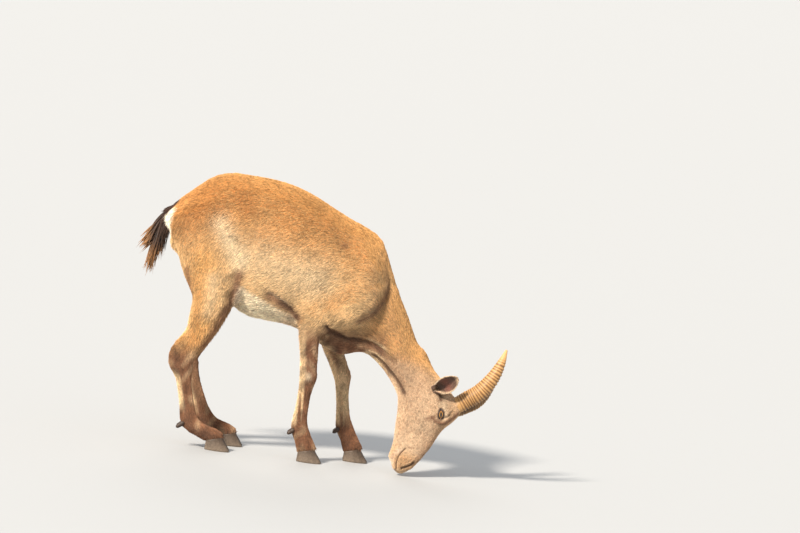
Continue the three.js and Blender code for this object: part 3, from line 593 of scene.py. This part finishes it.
def carve(mesh):
    # folds and features, as moves along the normals
    normals = normalsOf(mesh)
    p = placesOf(mesh)
    x, y, z = p.T
    side = np.column_stack([x, z])
    q = inHead(p)
    flat = q[:, [0, 2]]
    wide = np.abs(q[:, 1])
    head = isHead(p)
    leg = isLowLeg(p)
    fine = np.maximum(head, leg)
    move = -(skin["swell"] + skin["bodyDepth"] + (skin["finerDepth"] - skin["bodyDepth"]) * fine)
    out = np.abs(y)
    beside = ramp(out, 22, 44) * (1 - head)
    ribs = [[(-40 - 26 * i, 640), (-62 - 28 * i, 560), (-58 - 28 * i, 470)] for i in range(6)]
    move = folded(move, side, [
        (-5.5, shifted("shoulderEdge", 6, -4), 9, beside),
        (3.0, shifted("shoulderEdge", -12, 6), 13, beside),
        (-8, "neckGroove", 8, ramp(out, 18, 34)),
        (4, "throatBand", 9, ramp(out, 14, 30)),
        (-5, "throatEdge", 6, ramp(out, 8, 24)),
        (-5, "flankFold", 13, beside),
        (-5, coatLines["elbowFold"][1:], 12, ramp(out, 22, 44)),
        (2.5, shifted("elbowFold", 0, 16), 12, beside),
        (-3, [(-306, 420), (-318, 360), (-346, 300)], 12, beside),
        (-4, [(-245, 600), (-215, 620), (-190, 640)], 34, beside),
        *[(0.7, rib, 7, beside) for rib in ribs],
    ])
    # tendon grooves along the cannons and above the hocks
    for name in legNames:
        box = [fromModel(np.array(corner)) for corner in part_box(name + "_cannon")]
        middle = (box[0] + box[1]) / 2
        nearLeg = ramp(-np.abs(y - middle[1]), -34, -22) * leg
        top, low = (-368, 214), (-330, 96)
        if name.startswith("fore"):
            top, low = (middle[0] - 12, 196), (middle[0] - 14, 104)
            top = (top[0] - (12 if name.endswith("right") else 14), top[1])
        elif name.endswith("left"):
            top, low = (-352, 208), (-305, 100)
        near = ramp(-np.abs(x - middle[0]), -110, -80)
        move = folded(move, side, [(-3.2, [top, low], 5, nearLeg)], near)
    move = folded(move, side, [(-4.5, [(-384, 262), (-364, 300), (-344, 345)], 9, ramp(-x, 300, 330))])
    # face
    lips = ramp(q[:, 0], 128, 145)
    move = folded(move, flat, [
        (-3.0, "mouth", 1.9, ramp(q[:, 0], 120, 134)),
        (0.9, shifted("mouth", 0, 6), 4, lips),
        (0.9, shifted("mouth", 0, -6), 4, lips),
    ], head)
    away, share = distanceTo(flat, smoothCurve(coatLines["nostril"], 12))
    nostril = np.exp(-((away / (3.6 - 1.8 * share)) ** 2)) * (1 - 0.55 * share)
    move -= 6.5 * nostril * ramp(wide, 5, 9) * head
    rim = np.exp(-(((away - 5.5) / 2.2) ** 2))
    move += 1.3 * rim * ramp(wide, 5, 9) * head
    inside = [(a * 0.8 - 2, b * 0.72 - 2) for a, b in coatLines["brow"]]
    move = folded(move, flat, [
        (2.4, "brow", 4.5, ramp(wide, 18, 26)),
        (-2.0, inside, 3.5, ramp(wide, 20, 28)),
        (-1.6, "tear", 4.5, ramp(wide, 18, 25)),
        (1.6, [(34, -34), (64, -38), (96, -38)], 8, ramp(wide, 12, 20)),
        (-1.6, [(60, -58), (84, -60), (108, -56)], 9, ramp(wide, 10, 18)),
        (-5, "earHollow", 8, ramp(wide, 24, 34)),
    ], head)
    p = p + normals * move[:, None]
    # eyelids: over the ball a lid's thickness away, and through the opening down behind it
    for sideways in sides.values():
        axes, centre = eyeFrame(sideways)
        local = (p - centre) @ axes.T
        reach = np.linalg.norm(local, axis=1)
        front = (local[:, 2] > 2) & (reach < eye["radius"] + 13)
        u, w = local[:, 0], local[:, 1]
        opened = front & (np.abs(w) < almondReach(u)) & (np.hypot(u, w) < eye["half"] + 1)
        distance = np.hypot(u / 1.35, w)
        lidded = front & ~opened
        blend = ramp(-distance, -19, -11) * lidded
        lidReach = eye["radius"] + eye["lid"]
        target = local * (lidReach / np.maximum(reach, 1))[:, None]
        local = local + (target - local) * blend[:, None]
        crease = np.exp(-(((np.hypot(u / 1.25, w) - 15.5) / 1.5) ** 2)) * lidded * ramp(w * sideways, -4, 4)
        local = local * (1 - 0.055 * crease)[:, None]
        sunk = local * ((eye["radius"] - 3.5) / np.maximum(reach, 1))[:, None]
        local = np.where(opened[:, None], sunk, local)
        p = np.where(front[:, None], local @ axes + centre, p)
    setPoints(mesh, toModel(p))
    return mesh


print("making the skin")
skinMesh = carve(makeSkin())
skinPoints = placesOf(skinMesh)
skinNormals = normalsOf(skinMesh)
# the skin is darkened to seven tenths as painted shade between the tufts
setTone(skinMesh, coatColours(skinPoints, skinNormals) * 0.7)
skinHair = hairMaterial("skinHair", 1500.0, 0.5, 0.5)
skinPiece = addPiece("skin", skinMesh, skinHair, skinNodes)
print("skin", len(skinMesh.polygons), "faces")


# The coat: flat tapered tufts along the lie of the hair
coat = {
    "bodyTufts": 170000, "pieceTufts": 45000,
    "bodyLength": 11.0, "neckLength": 12.0, "bellyLength": 15.0, "legLength": 6.5, "faceLength": 4.2,
    "muzzleLength": 2.4,
    "lift": 0.16,
}
# the lie of the hair in side view, each row a place (x, z) and a direction (along, outward, up)
coatLie = [
    (-470, 640, -0.3, 0, -1), (-430, 700, -0.9, 0, -0.6), (-340, 755, -1, 0.1, -0.15),
    (-200, 770, -1, 0.2, 0), (-60, 738, -1, 0.2, 0.1), (60, 690, -1, 0.1, 0.35), (140, 630, -0.7, 0.1, 0.8),
    (200, 500, -0.45, 0, 0.9), (260, 380, -0.5, 0, 0.85), (110, 500, -0.75, 0, 0.2),
    (160, 400, -0.7, 0, 0.55), (220, 300, -0.6, 0, 0.8), (40, 560, -0.85, 0, -0.45),
    (-60, 600, -0.85, 0, -0.5), (-200, 620, -0.85, 0, -0.5), (-330, 640, -0.75, 0, -0.65),
    (-400, 600, -0.55, 0, -0.85), (40, 440, -0.5, 0, -0.85), (-60, 470, -0.8, 0, -0.6),
    (-200, 480, -0.85, 0, -0.5), (-320, 520, -0.4, 0, -0.9), (-390, 500, -0.2, 0, -1),
    (-100, 380, -1, 0, -0.2), (-210, 385, -1, 0, -0.2), (60, 330, -0.9, 0, 0.1), (0, 350, -0.5, 0, -0.8),
    (-320, 400, -0.3, 0, -0.95), (-360, 300, -0.15, 0, -1), (-360, 150, 0.1, 0, -1), (-20, 250, 0, 0, -1),
    (-10, 120, 0, 0, -1), (90, 250, 0, 0, -1), (110, 120, 0, 0, -1), (-270, 60, 0.4, 0, -0.9),
    (10, 50, 0.2, 0, -1), (130, 50, 0.2, 0, -1),
]


def lieOf(p):
    total = np.zeros((len(p), 3))
    weights = np.zeros(len(p))
    for x, z, *direction in coatLie:
        near = 1 / (((p[:, 0] - x) ** 2 + (p[:, 2] - z) ** 2) / 900 + 1) ** 2
        along = np.tile(np.array(direction, float), (len(p), 1))
        along[:, 1] *= np.sign(p[:, 1])
        total += unit(along) * near[:, None]
        weights += near
    flow = total / weights[:, None]
    q = inHead(p)
    face = np.tile((-1.0, 0.0, 0.0), (len(p), 1))
    face[:, 1] = 0.25 * np.sign(q[:, 1]) * ramp(np.abs(q[:, 1]), 2, 20)
    face[:, 2] = -0.45 * ramp(-q[:, 2], 10, 60)
    head = isHead(p)[:, None]
    return unit(unit(flow) * (1 - head) + unit(face @ headAxes) * head)


def unwrap(mesh):
    # the skin's own unwrap, which gives each tuft its place in the bake
    bpy.ops.object.select_all(action="DESELECT")
    skinPiece.select_set(True)
    bpy.context.view_layer.objects.active = skinPiece
    mesh.uv_layers.new(name="OFBake")
    bpy.ops.object.mode_set(mode="EDIT")
    bpy.ops.mesh.select_all(action="SELECT")
    bpy.ops.uv.smart_project(angle_limit=1.2, island_margin=0.002)
    bpy.ops.object.mode_set(mode="OBJECT")


def trianglesOf(mesh):
    # the corners of the triangles, and their places in the unwrap
    mesh.calc_loop_triangles()
    corners = gathered(mesh.loop_triangles, "vertices", 3, np.int32)
    loops = gathered(mesh.loop_triangles, "loops", 3, np.int32)
    return corners, gathered(mesh.uv_layers["OFBake"].data, "uv", 2)[loops]


def scatter(mesh, density, count):
    # places on the surface, evenly by area times density
    triangles, flat = trianglesOf(mesh)
    points = placesOf(mesh)
    normals = normalsOf(mesh)
    a, b, c = (points[triangles[:, k]] for k in range(3))
    area = np.linalg.norm(np.cross(b - a, c - a), axis=1) / 2
    weight = area * density[triangles].mean(axis=1)
    ladder = np.cumsum(weight) / weight.sum()
    picks = np.searchsorted(ladder, (np.arange(count) + rng.random(count)) / count)
    picks = np.minimum(picks, len(triangles) - 1)
    u, w = rng.random((2, count))
    over = u + w > 1
    u[over], w[over] = 1 - u[over], 1 - w[over]
    shares = np.column_stack([1 - u - w, u, w])
    corner = triangles[picks]
    spots = np.einsum("nk,nkd->nd", shares, points[corner])
    facing = unit(np.einsum("nk,nkd->nd", shares, normals[corner]))
    marks = np.einsum("nk,nkd->nd", shares, flat[picks])
    return spots, facing, marks


def growTufts(name, spots, facing, marks, lies, length, width, lift, tones, material):
    # each tuft is a closed flat wedge, sunk at its root and lying along the hair
    across = unit(np.cross(facing, lies))
    along = unit(np.cross(across, facing))
    wander = (rng.random(len(spots)) - 0.5) * 0.5
    lean = unit(along + across * wander[:, None])
    across = unit(np.cross(facing, lean))
    rise = lift * (0.6 + 0.8 * rng.random(len(spots)))
    reach = length * (0.75 + 0.5 * rng.random(len(spots)))
    sink = 0.35 + 0.03 * length
    root = spots - facing * sink[:, None]
    half = (across.T * (width / 2)).T
    tip = spots + lean * (reach * np.cos(rise))[:, None] + facing * (reach * np.sin(rise))[:, None]
    top = root + facing * (width * 0.35 + sink)[:, None]
    corners = np.stack([root + half, root - half, top - lean * (0.1 * reach)[:, None], tip], axis=1)
    wedge = np.array([[3, 1, 0], [3, 2, 1], [3, 0, 2], [1, 2, 0]])
    patch = 0.0015 * np.array([(-1, -1), (1, -1), (0, 0), (0, 1)])
    brightness = 0.78 + 0.44 * rng.random(len(spots))
    brightness *= np.where(rng.random(len(spots)) < 0.14, 0.6, 1.04)
    # painted shade: each tuft is darker at its root and lighter at its tip
    shade = np.array([0.66, 0.66, 0.86, 1.14])
    for first in range(0, len(spots), coat["pieceTufts"]):
        part = slice(first, first + coat["pieceTufts"])
        count = len(spots[part])
        faces = (wedge[None] + 4 * np.arange(count)[:, None, None]).reshape(-1, 3)
        mesh = meshOf(name, toModel(corners[part].reshape(-1, 3)), faces)
        colours = tones[part, None] * (brightness[part, None] * shade)[:, :, None]
        setTone(mesh, colours.reshape(-1, 3))
        setBake(mesh, (marks[part, None] + patch)[:, wedge.ravel()])
        addPiece(f"{name}_{first // coat['pieceTufts']}", mesh, material, smooth=False)


def clearOfFeatures(p):
    # no hair on eyes, in the mouth and nostrils, or inside the hooves
    keep = np.ones(len(p))
    for side in sides.values():
        axes, centre = eyeFrame(side)
        local = (p - centre) @ axes.T
        distance = np.hypot(local[:, 0] / 1.25, local[:, 1] * 1.5)
        keep *= np.where((local[:, 2] > 0) & (distance < 12.5), 0, 1)
    q = inHead(p)
    flat = q[:, [0, 2]]
    head = isHead(p)
    keep *= 1 - head * ramp(nearLine(flat, "nostril", 4.5), 0.3, 0.6) * ramp(np.abs(q[:, 1]), 5, 8)
    keep *= 1 - head * ramp(nearLine(flat, "mouth", 2.4), 0.4, 0.7) * ramp(q[:, 0], 122, 132)
    keep *= 1 - ramp(-p[:, 2], -26, -16)
    return keep


def makeCoat():
    unwrap(skinMesh)
    head = isHead(skinPoints)
    density = (1 + 2.2 * head + 1.1 * isLowLeg(skinPoints)) * clearOfFeatures(skinPoints)
    spots, facing, marks = scatter(skinMesh, density, coat["bodyTufts"])
    q = inHead(spots)
    head = isHead(spots)
    low = isLowLeg(spots)
    neck = ramp(spots[:, 0], 120, 200)
    belly = ramp(-spots[:, 2], -410, -370) * ramp(-spots[:, 0], 40, 90) * (1 - low)
    length = coat["bodyLength"] + (coat["neckLength"] - coat["bodyLength"]) * neck
    length = length + (coat["bellyLength"] - length) * belly
    length = length + (coat["legLength"] - length) * low
    length = length + (coat["faceLength"] - length) * head
    length = length + (coat["muzzleLength"] - length) * head * ramp(q[:, 0], 60, 150)
    rump = ramp(-spots[:, 0], 432, 450) * ramp(spots[:, 2], 530, 560) * ramp(-spots[:, 2], -665, -640)
    length = length * (1 + 1.1 * rump)
    length = length + 4 * ramp(-spots[:, 2], -66, -48)
    width = 0.5 + 0.125 * length
    lift = coat["lift"] * (1 + 0.8 * belly + 0.6 * rump + 0.4 * head)
    tones = coatColours(spots, facing)
    growTufts("coat", spots, facing, marks, lieOf(spots), length, width, lift, tones, coatHair)


coatHair = hairMaterial("coatHair", 700.0, 0.75, 0.0, 0.66)
makeCoat()
print("coat grown")


# Eyes: amber, with a level slot of a pupil
def eyeMaterial():
    material, tree, shader = newMaterial(
        "eyeball", 0.06, **{"Specular IOR Level": 0.6, "Coat Weight": 0.6, "Coat Roughness": 0.03})
    place = addNode(tree, "ShaderNodeAttribute", attribute_name="eyePlace").outputs["Vector"]
    parts = addNode(tree, "ShaderNodeSeparateXYZ", {"Vector": place})

    def lengthOf(across, up):
        flat = addNode(tree, "ShaderNodeCombineXYZ", {"X": across, "Y": up})
        length = addNode(tree, "ShaderNodeVectorMath", {0: flat.outputs[0]}, operation="LENGTH")
        return length.outputs["Value"]

    away = lengthOf(parts.outputs["X"], parts.outputs["Y"])
    wobble = addMath(tree, "MULTIPLY_ADD", addNoise(tree, place, 9.0, 5.0), 0.16, away)
    iris = addNode(tree, "ShaderNodeValToRGB", {"Fac": wobble})
    stops = [(0.0, (0.42, 0.17, 0.03, 1)), (0.4, (0.55, 0.27, 0.06, 1)), (0.66, (0.34, 0.13, 0.03, 1)),
             (0.76, (0.03, 0.014, 0.008, 1))]
    ramps = iris.color_ramp.elements
    while len(ramps) < len(stops):
        ramps.new(0.5)
    for element, (at, colour) in zip(ramps, stops):
        element.position = at
        element.color = colour
    slot = lengthOf(addMath(tree, "MULTIPLY", parts.outputs["X"], 2.2),
                    addMath(tree, "MULTIPLY", parts.outputs["Y"], 5.6))
    pupil = addNode(tree, "ShaderNodeMapRange", {"Value": slot, "From Min": 0.9, "From Max": 1.05})
    tree.links.new(scaled(tree, iris.outputs["Color"], pupil.outputs["Result"]), shader.inputs["Base Color"])
    return material


def makeEye(name, side, material):
    axes, centre = eyeFrame(side)
    ball = bmesh.new()
    bmesh.ops.create_uvsphere(ball, u_segments=56, v_segments=40, radius=1.0)
    mesh = meshFrom(ball, name)
    local = pointsOf(mesh)
    away = np.hypot(local[:, 0], local[:, 1])
    cornea = 1 + 0.035 * ramp(-away, -0.72, -0.3) * (local[:, 2] > 0)
    setPoints(mesh, toModel((local * cornea[:, None] * eye["radius"]) @ axes + centre))
    place = mesh.attributes.new("eyePlace", "FLOAT_VECTOR", "POINT")
    place.data.foreach_set("vector", np.ascontiguousarray(local, np.float32).ravel())
    if side < 0:
        mesh.flip_normals()
    addPiece("eyeball_" + name, mesh, material, ["eye_" + name])
    return axes, centre


def tubeAlong(name, path, radii, count, closed=False):
    # a round tube through points, from circles bridged with their neighbours
    tube = bmesh.new()
    loops = []
    for i, (centre, radius) in enumerate(zip(path, radii)):
        ahead = path[(i + 1) % len(path)] if closed or i < len(path) - 1 else centre
        behind = path[i - 1] if closed or i > 0 else centre
        turn = Vector(ahead - behind).to_track_quat("Z", "Y").to_matrix().to_4x4()
        matrix = Matrix.Translation(Vector(toModel(centre))) @ turn
        ring = bmesh.ops.create_circle(tube, segments=count, radius=radius * mm, matrix=matrix)["verts"]
        loops.append(ring)
    for i in range(len(loops) if closed else len(loops) - 1):
        first, second = loops[i], loops[(i + 1) % len(loops)]
        start = min(range(count), key=lambda k: (second[k].co - first[0].co).length)
        for k in range(count):
            tube.faces.new([first[k], first[(k + 1) % count], second[(start + k + 1) % count],
                            second[(start + k) % count]])
    if not closed:
        bmesh.ops.holes_fill(tube, edges=[e for e in tube.edges if e.is_boundary])
    bmesh.ops.recalc_face_normals(tube, faces=tube.faces)
    return meshFrom(tube, name)


def makeLidRim(name, axes, centre, material):
    turns = np.linspace(0, 2 * math.pi, 40, endpoint=False)
    u = (eye["half"] - 0.4) * np.cos(turns)
    w = np.sign(np.sin(turns)) * almondReach(u) * 0.97
    flat = np.column_stack([u, w, np.zeros(len(u))])
    reach = eye["radius"] + 1.1
    flat[:, 2] = np.sqrt(np.maximum(reach ** 2 - u ** 2 - w ** 2, 4))
    radii = 1.7 + 0.4 * np.abs(np.cos(turns))
    mesh = tubeAlong("lid", flat @ axes + centre, radii, 8, closed=True)
    addPiece("lidRim_" + name, mesh, material)


eyeFinish = eyeMaterial()
rimMaterial, rimTree, rimShader = newMaterial("lidSkin", 0.42)
speckled(rimTree, rimShader, (0.035, 0.018, 0.012, 1), 800.0, 0.8)
for name, side in sides.items():
    eyeAxes, eyeCentre = makeEye(name, side, eyeFinish)
    makeLidRim(name, eyeAxes, eyeCentre, rimMaterial)
print("eyes set")


# Horns: rings of growth across a swept-back cone, flatter at the sides
horn = {
    "line": [(-38, 18, 6, 21), (-60, 22, 27, 23.5), (-87, 31, 44, 24), (-112, 42, 60, 23.5),
             (-142, 53, 70, 21.5), (-178, 62, 75, 17.5), (-217, 68, 74, 11.5), (-255, 70, 69, 3)],
    "flatness": 0.74, "ridges": 24, "ridgeHeight": 1.9, "perRidge": 7, "sides": 28,
    "from": 0.16, "to": 0.93,
}


def hornMaterial():
    material, tree, shader = newMaterial("hornKeratin", 0.46, **{"Specular IOR Level": 0.4})
    tone = addNode(tree, "ShaderNodeAttribute", attribute_name="tone")
    speckled(tree, shader, tone.outputs["Color"], 420.0, 0.45, 0.35, 0.0008)
    return material


def makeHorn(name, side, material):
    steps = round(horn["ridges"] * horn["perRidge"] / (horn["to"] - horn["from"]))
    rows = smoothCurve([(x, side * y, z, half) for x, y, z, half in horn["line"]], steps)
    line = onHead(rows[:, :3])
    body = bmesh.new()
    tones = []
    rings = []
    for i, centre in enumerate(line):
        share = i / (steps - 1)
        along = unit(line[min(i + 1, steps - 1)] - line[max(i - 1, 0)])
        over = unit(np.cross(along, headLeft))
        beside = np.cross(over, along)
        phase = (share - horn["from"]) / (horn["to"] - horn["from"]) * horn["ridges"]
        ridged = ramp(np.array([share]), horn["from"] - 0.03, horn["from"] + 0.04)[0]
        ridged *= 1 - ramp(np.array([share]), horn["to"] - 0.12, horn["to"])[0]
        wave = 0.5 + 0.5 * math.cos(2 * math.pi * (phase + 0.12 * math.sin(phase * 2.3)))
        swell = ridged * horn["ridgeHeight"] * (1 - 0.5 * share) * (2 * wave ** 2.2 - 0.7)
        ring = []
        for j in range(horn["sides"]):
            angle = 2 * math.pi * j / horn["sides"]
            rear = math.cos(angle)
            front = max(0.0, -rear)
            out = swell * (0.45 + 0.55 * front)
            high = rear * (rows[i, 3] + out)
            wide = math.sin(angle) * (rows[i, 3] * horn["flatness"] * (1 - 0.22 * max(0.0, rear)) + out * 0.8)
            ring.append(body.verts.new(Vector(toModel(centre + over * high + beside * wide))))
            # painted shade: darker in the grooves between the ridges
            groove = 0.34 + 0.66 * wave if ridged > 0.05 else 1.0
            groove = 1 - ridged * (1 - groove)
            pale = 0.78 + 0.45 * share
            # painted shade: darker on the inner side, toward the other horn
            pale *= 0.4 + 0.6 * min(1.0, max(0.0, 0.75 + 1.5 * side * math.sin(angle)))
            tones.append([0.56 * groove * pale, 0.31 * groove ** 1.15 * pale, 0.12 * groove ** 1.3 * pale])
        if rings:
            for j in range(horn["sides"]):
                k = (j + 1) % horn["sides"]
                body.faces.new([rings[-1][j], rings[-1][k], ring[k], ring[j]])
        rings.append(ring)
    bmesh.ops.holes_fill(body, edges=[e for e in body.edges if e.is_boundary])
    bmesh.ops.recalc_face_normals(body, faces=body.faces)
    mesh = meshFrom(body, "horn")
    setTone(mesh, np.array(tones))
    addPiece("hornBody_" + name, mesh, material, ["horn_" + name])


hornFinish = hornMaterial()
for name, side in sides.items():
    makeHorn(name, side, hornFinish)
print("horns grown")


# Hooves and dewclaws
hoof = {"voxel": 1.7, "rings": 0.3, "ringSpacing": 3.4}


def hoofMaterial():
    material, tree, shader = newMaterial("hoofHorn", 0.5, **{"Specular IOR Level": 0.35})
    place = addNode(tree, "ShaderNodeTexCoord").outputs["Object"]
    high = addNode(tree, "ShaderNodeSeparateXYZ", {"Vector": place})
    tone = addNode(tree, "ShaderNodeMapRange",
                   {"Value": high.outputs["Z"], "From Min": 0.0, "From Max": 0.045})
    colour = addNode(tree, "ShaderNodeValToRGB", {"Fac": tone.outputs["Result"]})
    low, top = colour.color_ramp.elements
    low.color = (0.19, 0.14, 0.10, 1)
    top.color = (0.05, 0.03, 0.02, 1)
    speckled(tree, shader, colour.outputs["Color"], 260.0, 0.7, 0.5)
    return material


def makeHoof(node, material):
    mesh = remeshed(solidCopy([node]), hoof["voxel"])
    relaxed(mesh, 6)
    points = placesOf(mesh)
    normals = normalsOf(mesh)
    level = points[:, 2] + 0.26 * points[:, 0]
    rings = np.sin(2 * math.pi * level / hoof["ringSpacing"]) * hoof["rings"] * ramp(points[:, 2], 3, 8)
    setPoints(mesh, toModel(points + normals * (rings * (np.abs(normals[:, 2]) < 0.8))[:, None]))
    addPiece("horny_" + node, mesh, material, [node])


hoofFinish = hoofMaterial()
for leg in legNames:
    for toe in ("outer", "inner"):
        makeHoof(f"{leg}_claw_{toe}", hoofFinish)
        makeHoof(f"{leg}_dewclaw_{toe}", hoofFinish)
print("hooves shaped")


# Ears: cupped, with a pale rim and a dark inside
ear = {
    "voxel": 1.5, "tufts": 5200, "hair": 4.2, "lift": 0.18, "length": 82, "halfWidth": 26,
    "root": (-70, 38, -52), "axis": (-0.3, 0.8, 0.5), "cup": (0.88, 0.45, -0.12),
    "shares": [0, 0.24, 0.4, 0.56, 0.72, 0.86, 0.96, 1],
    "widths": [0.5, 0.66, 0.88, 1, 0.94, 0.68, 0.34, 0.1],
}


def earAxis(side):
    return unit(np.array(ear["axis"]) * (1, side, 1))


def makeEar(name, side):
    mesh = remeshed(solidCopy(["ear_" + name], 0.4), ear["voxel"])
    relaxed(mesh, 8)
    normals = normalsOf(mesh)
    points = placesOf(mesh) - normals * 0.6
    setPoints(mesh, toModel(points))
    # the ear's skin is darkened to 0.85 as painted shade between the hairs
    setTone(mesh, earTones(points, normals, side) * 0.85)
    addPiece("earShell_" + name, mesh, skinHair, ["ear_" + name])
    local = inHead(points)
    flatPlace = np.column_stack([local[:, 0], local[:, 2]]) * 0.003 + (0.4 + 0.2 * side, 0.5)
    setBake(mesh, flatPlace[gathered(mesh.loops, "vertex_index", 1, np.int32)[:, 0]])
    spots, facing, marks = scatter(mesh, np.ones(len(points)), ear["tufts"])
    lies = np.tile(earAxis(side) @ headAxes, (len(spots), 1))
    length = np.full(len(spots), ear["hair"])
    growTufts("earHair_" + name, spots, facing, marks, lies, length, 0.4 + 0.11 * length,
              np.full(len(spots), ear["lift"]), earTones(spots, facing, side), coatHair)


def earTones(points, normals, side):
    along = earAxis(side)
    cup = np.array(ear["cup"]) * (1, side, 1)
    facing = normals @ unit(cup @ headAxes)
    across = np.cross(along, unit(cup - cup @ along * along))
    local = inHead(points) - np.array(ear["root"]) * (1, side, 1)
    reach = local @ along
    half = ear["halfWidth"] * np.interp(reach / ear["length"], ear["shares"], ear["widths"])
    inside = ramp(facing, -0.1, 0.45) * ramp(-reach, -78, -66)
    inside = inside * (1 - ramp(np.abs(local @ across) / half, 0.78, 0.92))
    return painted(
        np.tile(coatTones["face"], (len(points), 1)),
        ("belly", 0.6 * ramp(facing, 0.0, 0.5)),
        ("earInside", 0.9 * inside),
        ("earFlesh", 0.6 * inside * np.exp(-((reach - 40) / 12) ** 2)),
        ("leg", 0.3 * ramp(reach, 66, 84) * (1 - inside)))


for name, side in sides.items():
    makeEar(name, side)
print("ears shaped")


# Tail: dark locks over a short dock, with tan ends drawn out in wisps
tail = {
    "locks": 900, "sections": 7, "width": 2.8, "ends": [(-534, 0, 530), (-506, 0, 474), (-478, 0, 520)],
    "dark": (0.045, 0.022, 0.013), "tan": (0.50, 0.235, 0.085),
}


def makeTail():
    count = tail["locks"]
    dock = smoothCurve(tailDock, 40)
    place = 0.12 + 0.88 * rng.random(count)
    root = dock[(place * 39).astype(int)]
    turn = rng.random(count) * 2 * math.pi
    radius = 9 - 4 * place
    around = np.column_stack([-np.cos(turn) * 0.8, np.sin(turn) * 1.2, np.zeros(count)])
    root = root + around * radius[:, None]
    toRear = (rng.random(count) < 0.36) & (place > 0.4) & (np.cos(turn) > -0.2)
    chosen = np.where(toRear, 0, np.where(rng.random(count) < 0.62, 1, 2))
    end = np.array(tail["ends"], float)[chosen]
    scatterEnd = rng.normal(size=(count, 3)) * (6, 8, 12)
    full = 0.25 + 0.75 * rng.random(count) ** 0.7
    end = root + (end + scatterEnd - root) * full[:, None]
    sway = np.column_stack([-3 * np.ones(count), np.zeros(count), 5 - 10 * place])
    middle = (root + end) / 2 + around * 6 + sway
    lengths = np.linalg.norm(end - root, axis=1)
    keep = lengths > 14
    root, middle, end, turn = root[keep], middle[keep], end[keep], turn[keep]
    count = len(root)
    steps = tail["sections"]
    t = np.linspace(0, 1, steps)[None, :, None]
    path = (1 - t) ** 2 * root[:, None] + 2 * t * (1 - t) * middle[:, None] + t ** 2 * end[:, None]
    tangent = unit(np.gradient(path, axis=1))
    broad = np.column_stack([np.sin(turn), np.cos(turn), np.zeros(count)])[:, None]
    broad = unit(broad - (broad * tangent).sum(-1, keepdims=True) * tangent)
    thin = np.cross(tangent, broad)
    taper = np.array([0.7, 1.0, 1.0, 0.85, 0.62, 0.36, 0.08])[None, :, None] * tail["width"]
    taper = taper * (0.6 + 0.8 * rng.random((count, 1, 1)))
    ring = [(1, 0), (0, 0.42), (-1, 0), (0, -0.42)]
    points = np.stack([path + broad * taper * a + thin * taper * b for a, b in ring], axis=2)
    index = np.arange(count * steps * 4).reshape(count, steps, 4)
    turned = np.roll(index, -1, axis=2)
    walls = np.stack([index[:, :-1], index[:, 1:], turned[:, 1:], turned[:, :-1]], axis=-1).reshape(-1, 4)
    caps = np.concatenate([index[:, 0, :], index[:, -1, ::-1]])
    mesh = meshOf("tailLocks", toModel(points.reshape(-1, 3)), np.vstack([walls, caps]))
    # tan ends on the long locks, darker near the dock
    spread = np.linspace(0, 1, steps)
    reach = ramp(-path[:, :, 2], -556, -496) * spread + ramp(-path[:, :, 0], 498, 522) * spread
    reach = np.clip(reach, 0, 1)[:, :, None] * (0.45 + 0.55 * rng.random((count, 1, 1)))
    dark = np.array(tail["dark"])
    colours = dark + (np.array(tail["tan"]) - dark) * reach
    colours = colours * (0.7 + 0.6 * rng.random((count, 1, 1)))
    setTone(mesh, np.repeat(colours, 4, axis=1).reshape(-1, 3))
    loops = gathered(mesh.loops, "vertex_index", 1, np.int32)[:, 0]
    lock = loops // (steps * 4)
    cells = math.ceil(math.sqrt(count))
    cell = np.column_stack([lock % cells, lock // cells]) / cells
    within = np.column_stack([loops % 4, loops // 4 % steps]) / (4, steps) * 0.003
    setBake(mesh, cell + within)
    locks = bmesh.new()
    locks.from_mesh(mesh)
    bmesh.ops.recalc_face_normals(locks, faces=locks.faces)
    locks.to_mesh(mesh)
    locks.free()
    addPiece("tailLocks", mesh, coatHair, ["tail"])


makeTail()
print("tail hung")


# Floor, light and camera
stage = {
    "floor": (0.45, 0.45, 0.45), "floorSize": 400.0,
    "elevation": 5.0, "roll": 7.5, "distance": 14.0, "lens": 225.0, "target": (0.1974, 0.0, 0.5717),
}


def makeStage():
    ground = bmesh.new()
    bmesh.ops.create_grid(ground, x_segments=2, y_segments=2, size=stage["floorSize"] / 2)
    mesh = meshFrom(ground, "floor")
    floor = addObject("floor", mesh)
    material, _, shader = newMaterial("paleFloor", 0.9)
    shader.inputs["Base Color"].default_value = (*stage["floor"], 1)
    mesh.materials.append(material)


def addSun(name, toward, strength, softness, colour):
    lamp = bpy.data.lights.new(name, "SUN")
    lamp.energy = strength
    lamp.angle = math.radians(softness)
    lamp.color = colour
    holder = addObject(name, lamp)
    holder.rotation_euler = Vector(toward).to_track_quat("-Z", "Y").to_euler()


def makeLight():
    world = bpy.data.worlds.new("studio")
    world.use_nodes = True
    sky = world.node_tree.nodes["Background"].inputs
    sky["Color"].default_value = (0.90, 0.95, 1.0, 1)
    sky["Strength"].default_value = 0.70
    bpy.context.scene.world = world
    addSun("key", (0.48, 0.62, -0.62), 5.7, 8.0, (1.0, 0.93, 0.82))
    addSun("back", (0.1, -0.9, -0.5), 0.8, 30.0, (1.0, 0.98, 0.95))
    bpy.context.scene.view_settings.view_transform = "Standard"


def makeCamera():
    lens = bpy.data.cameras.new("photoView")
    lens.lens = stage["lens"]
    lens.sensor_width = 36.0
    lens.clip_end = 1000.0
    camera = addObject("photoView", lens)
    tilt = math.radians(stage["elevation"])
    roll = math.radians(stage["roll"])
    target = Vector(stage["target"])
    forward = Vector((0, math.cos(tilt), -math.sin(tilt)))
    upright = Vector((-math.sin(roll), 0, math.cos(roll)))
    right = forward.cross(upright).normalized()
    above = right.cross(forward)
    turn = Matrix((right, above, -forward)).transposed().to_4x4()
    camera.matrix_world = Matrix.Translation(target - forward * stage["distance"]) @ turn
    bpy.context.scene.camera = camera


makeStage()
makeLight()
makeCamera()
print("stage set")
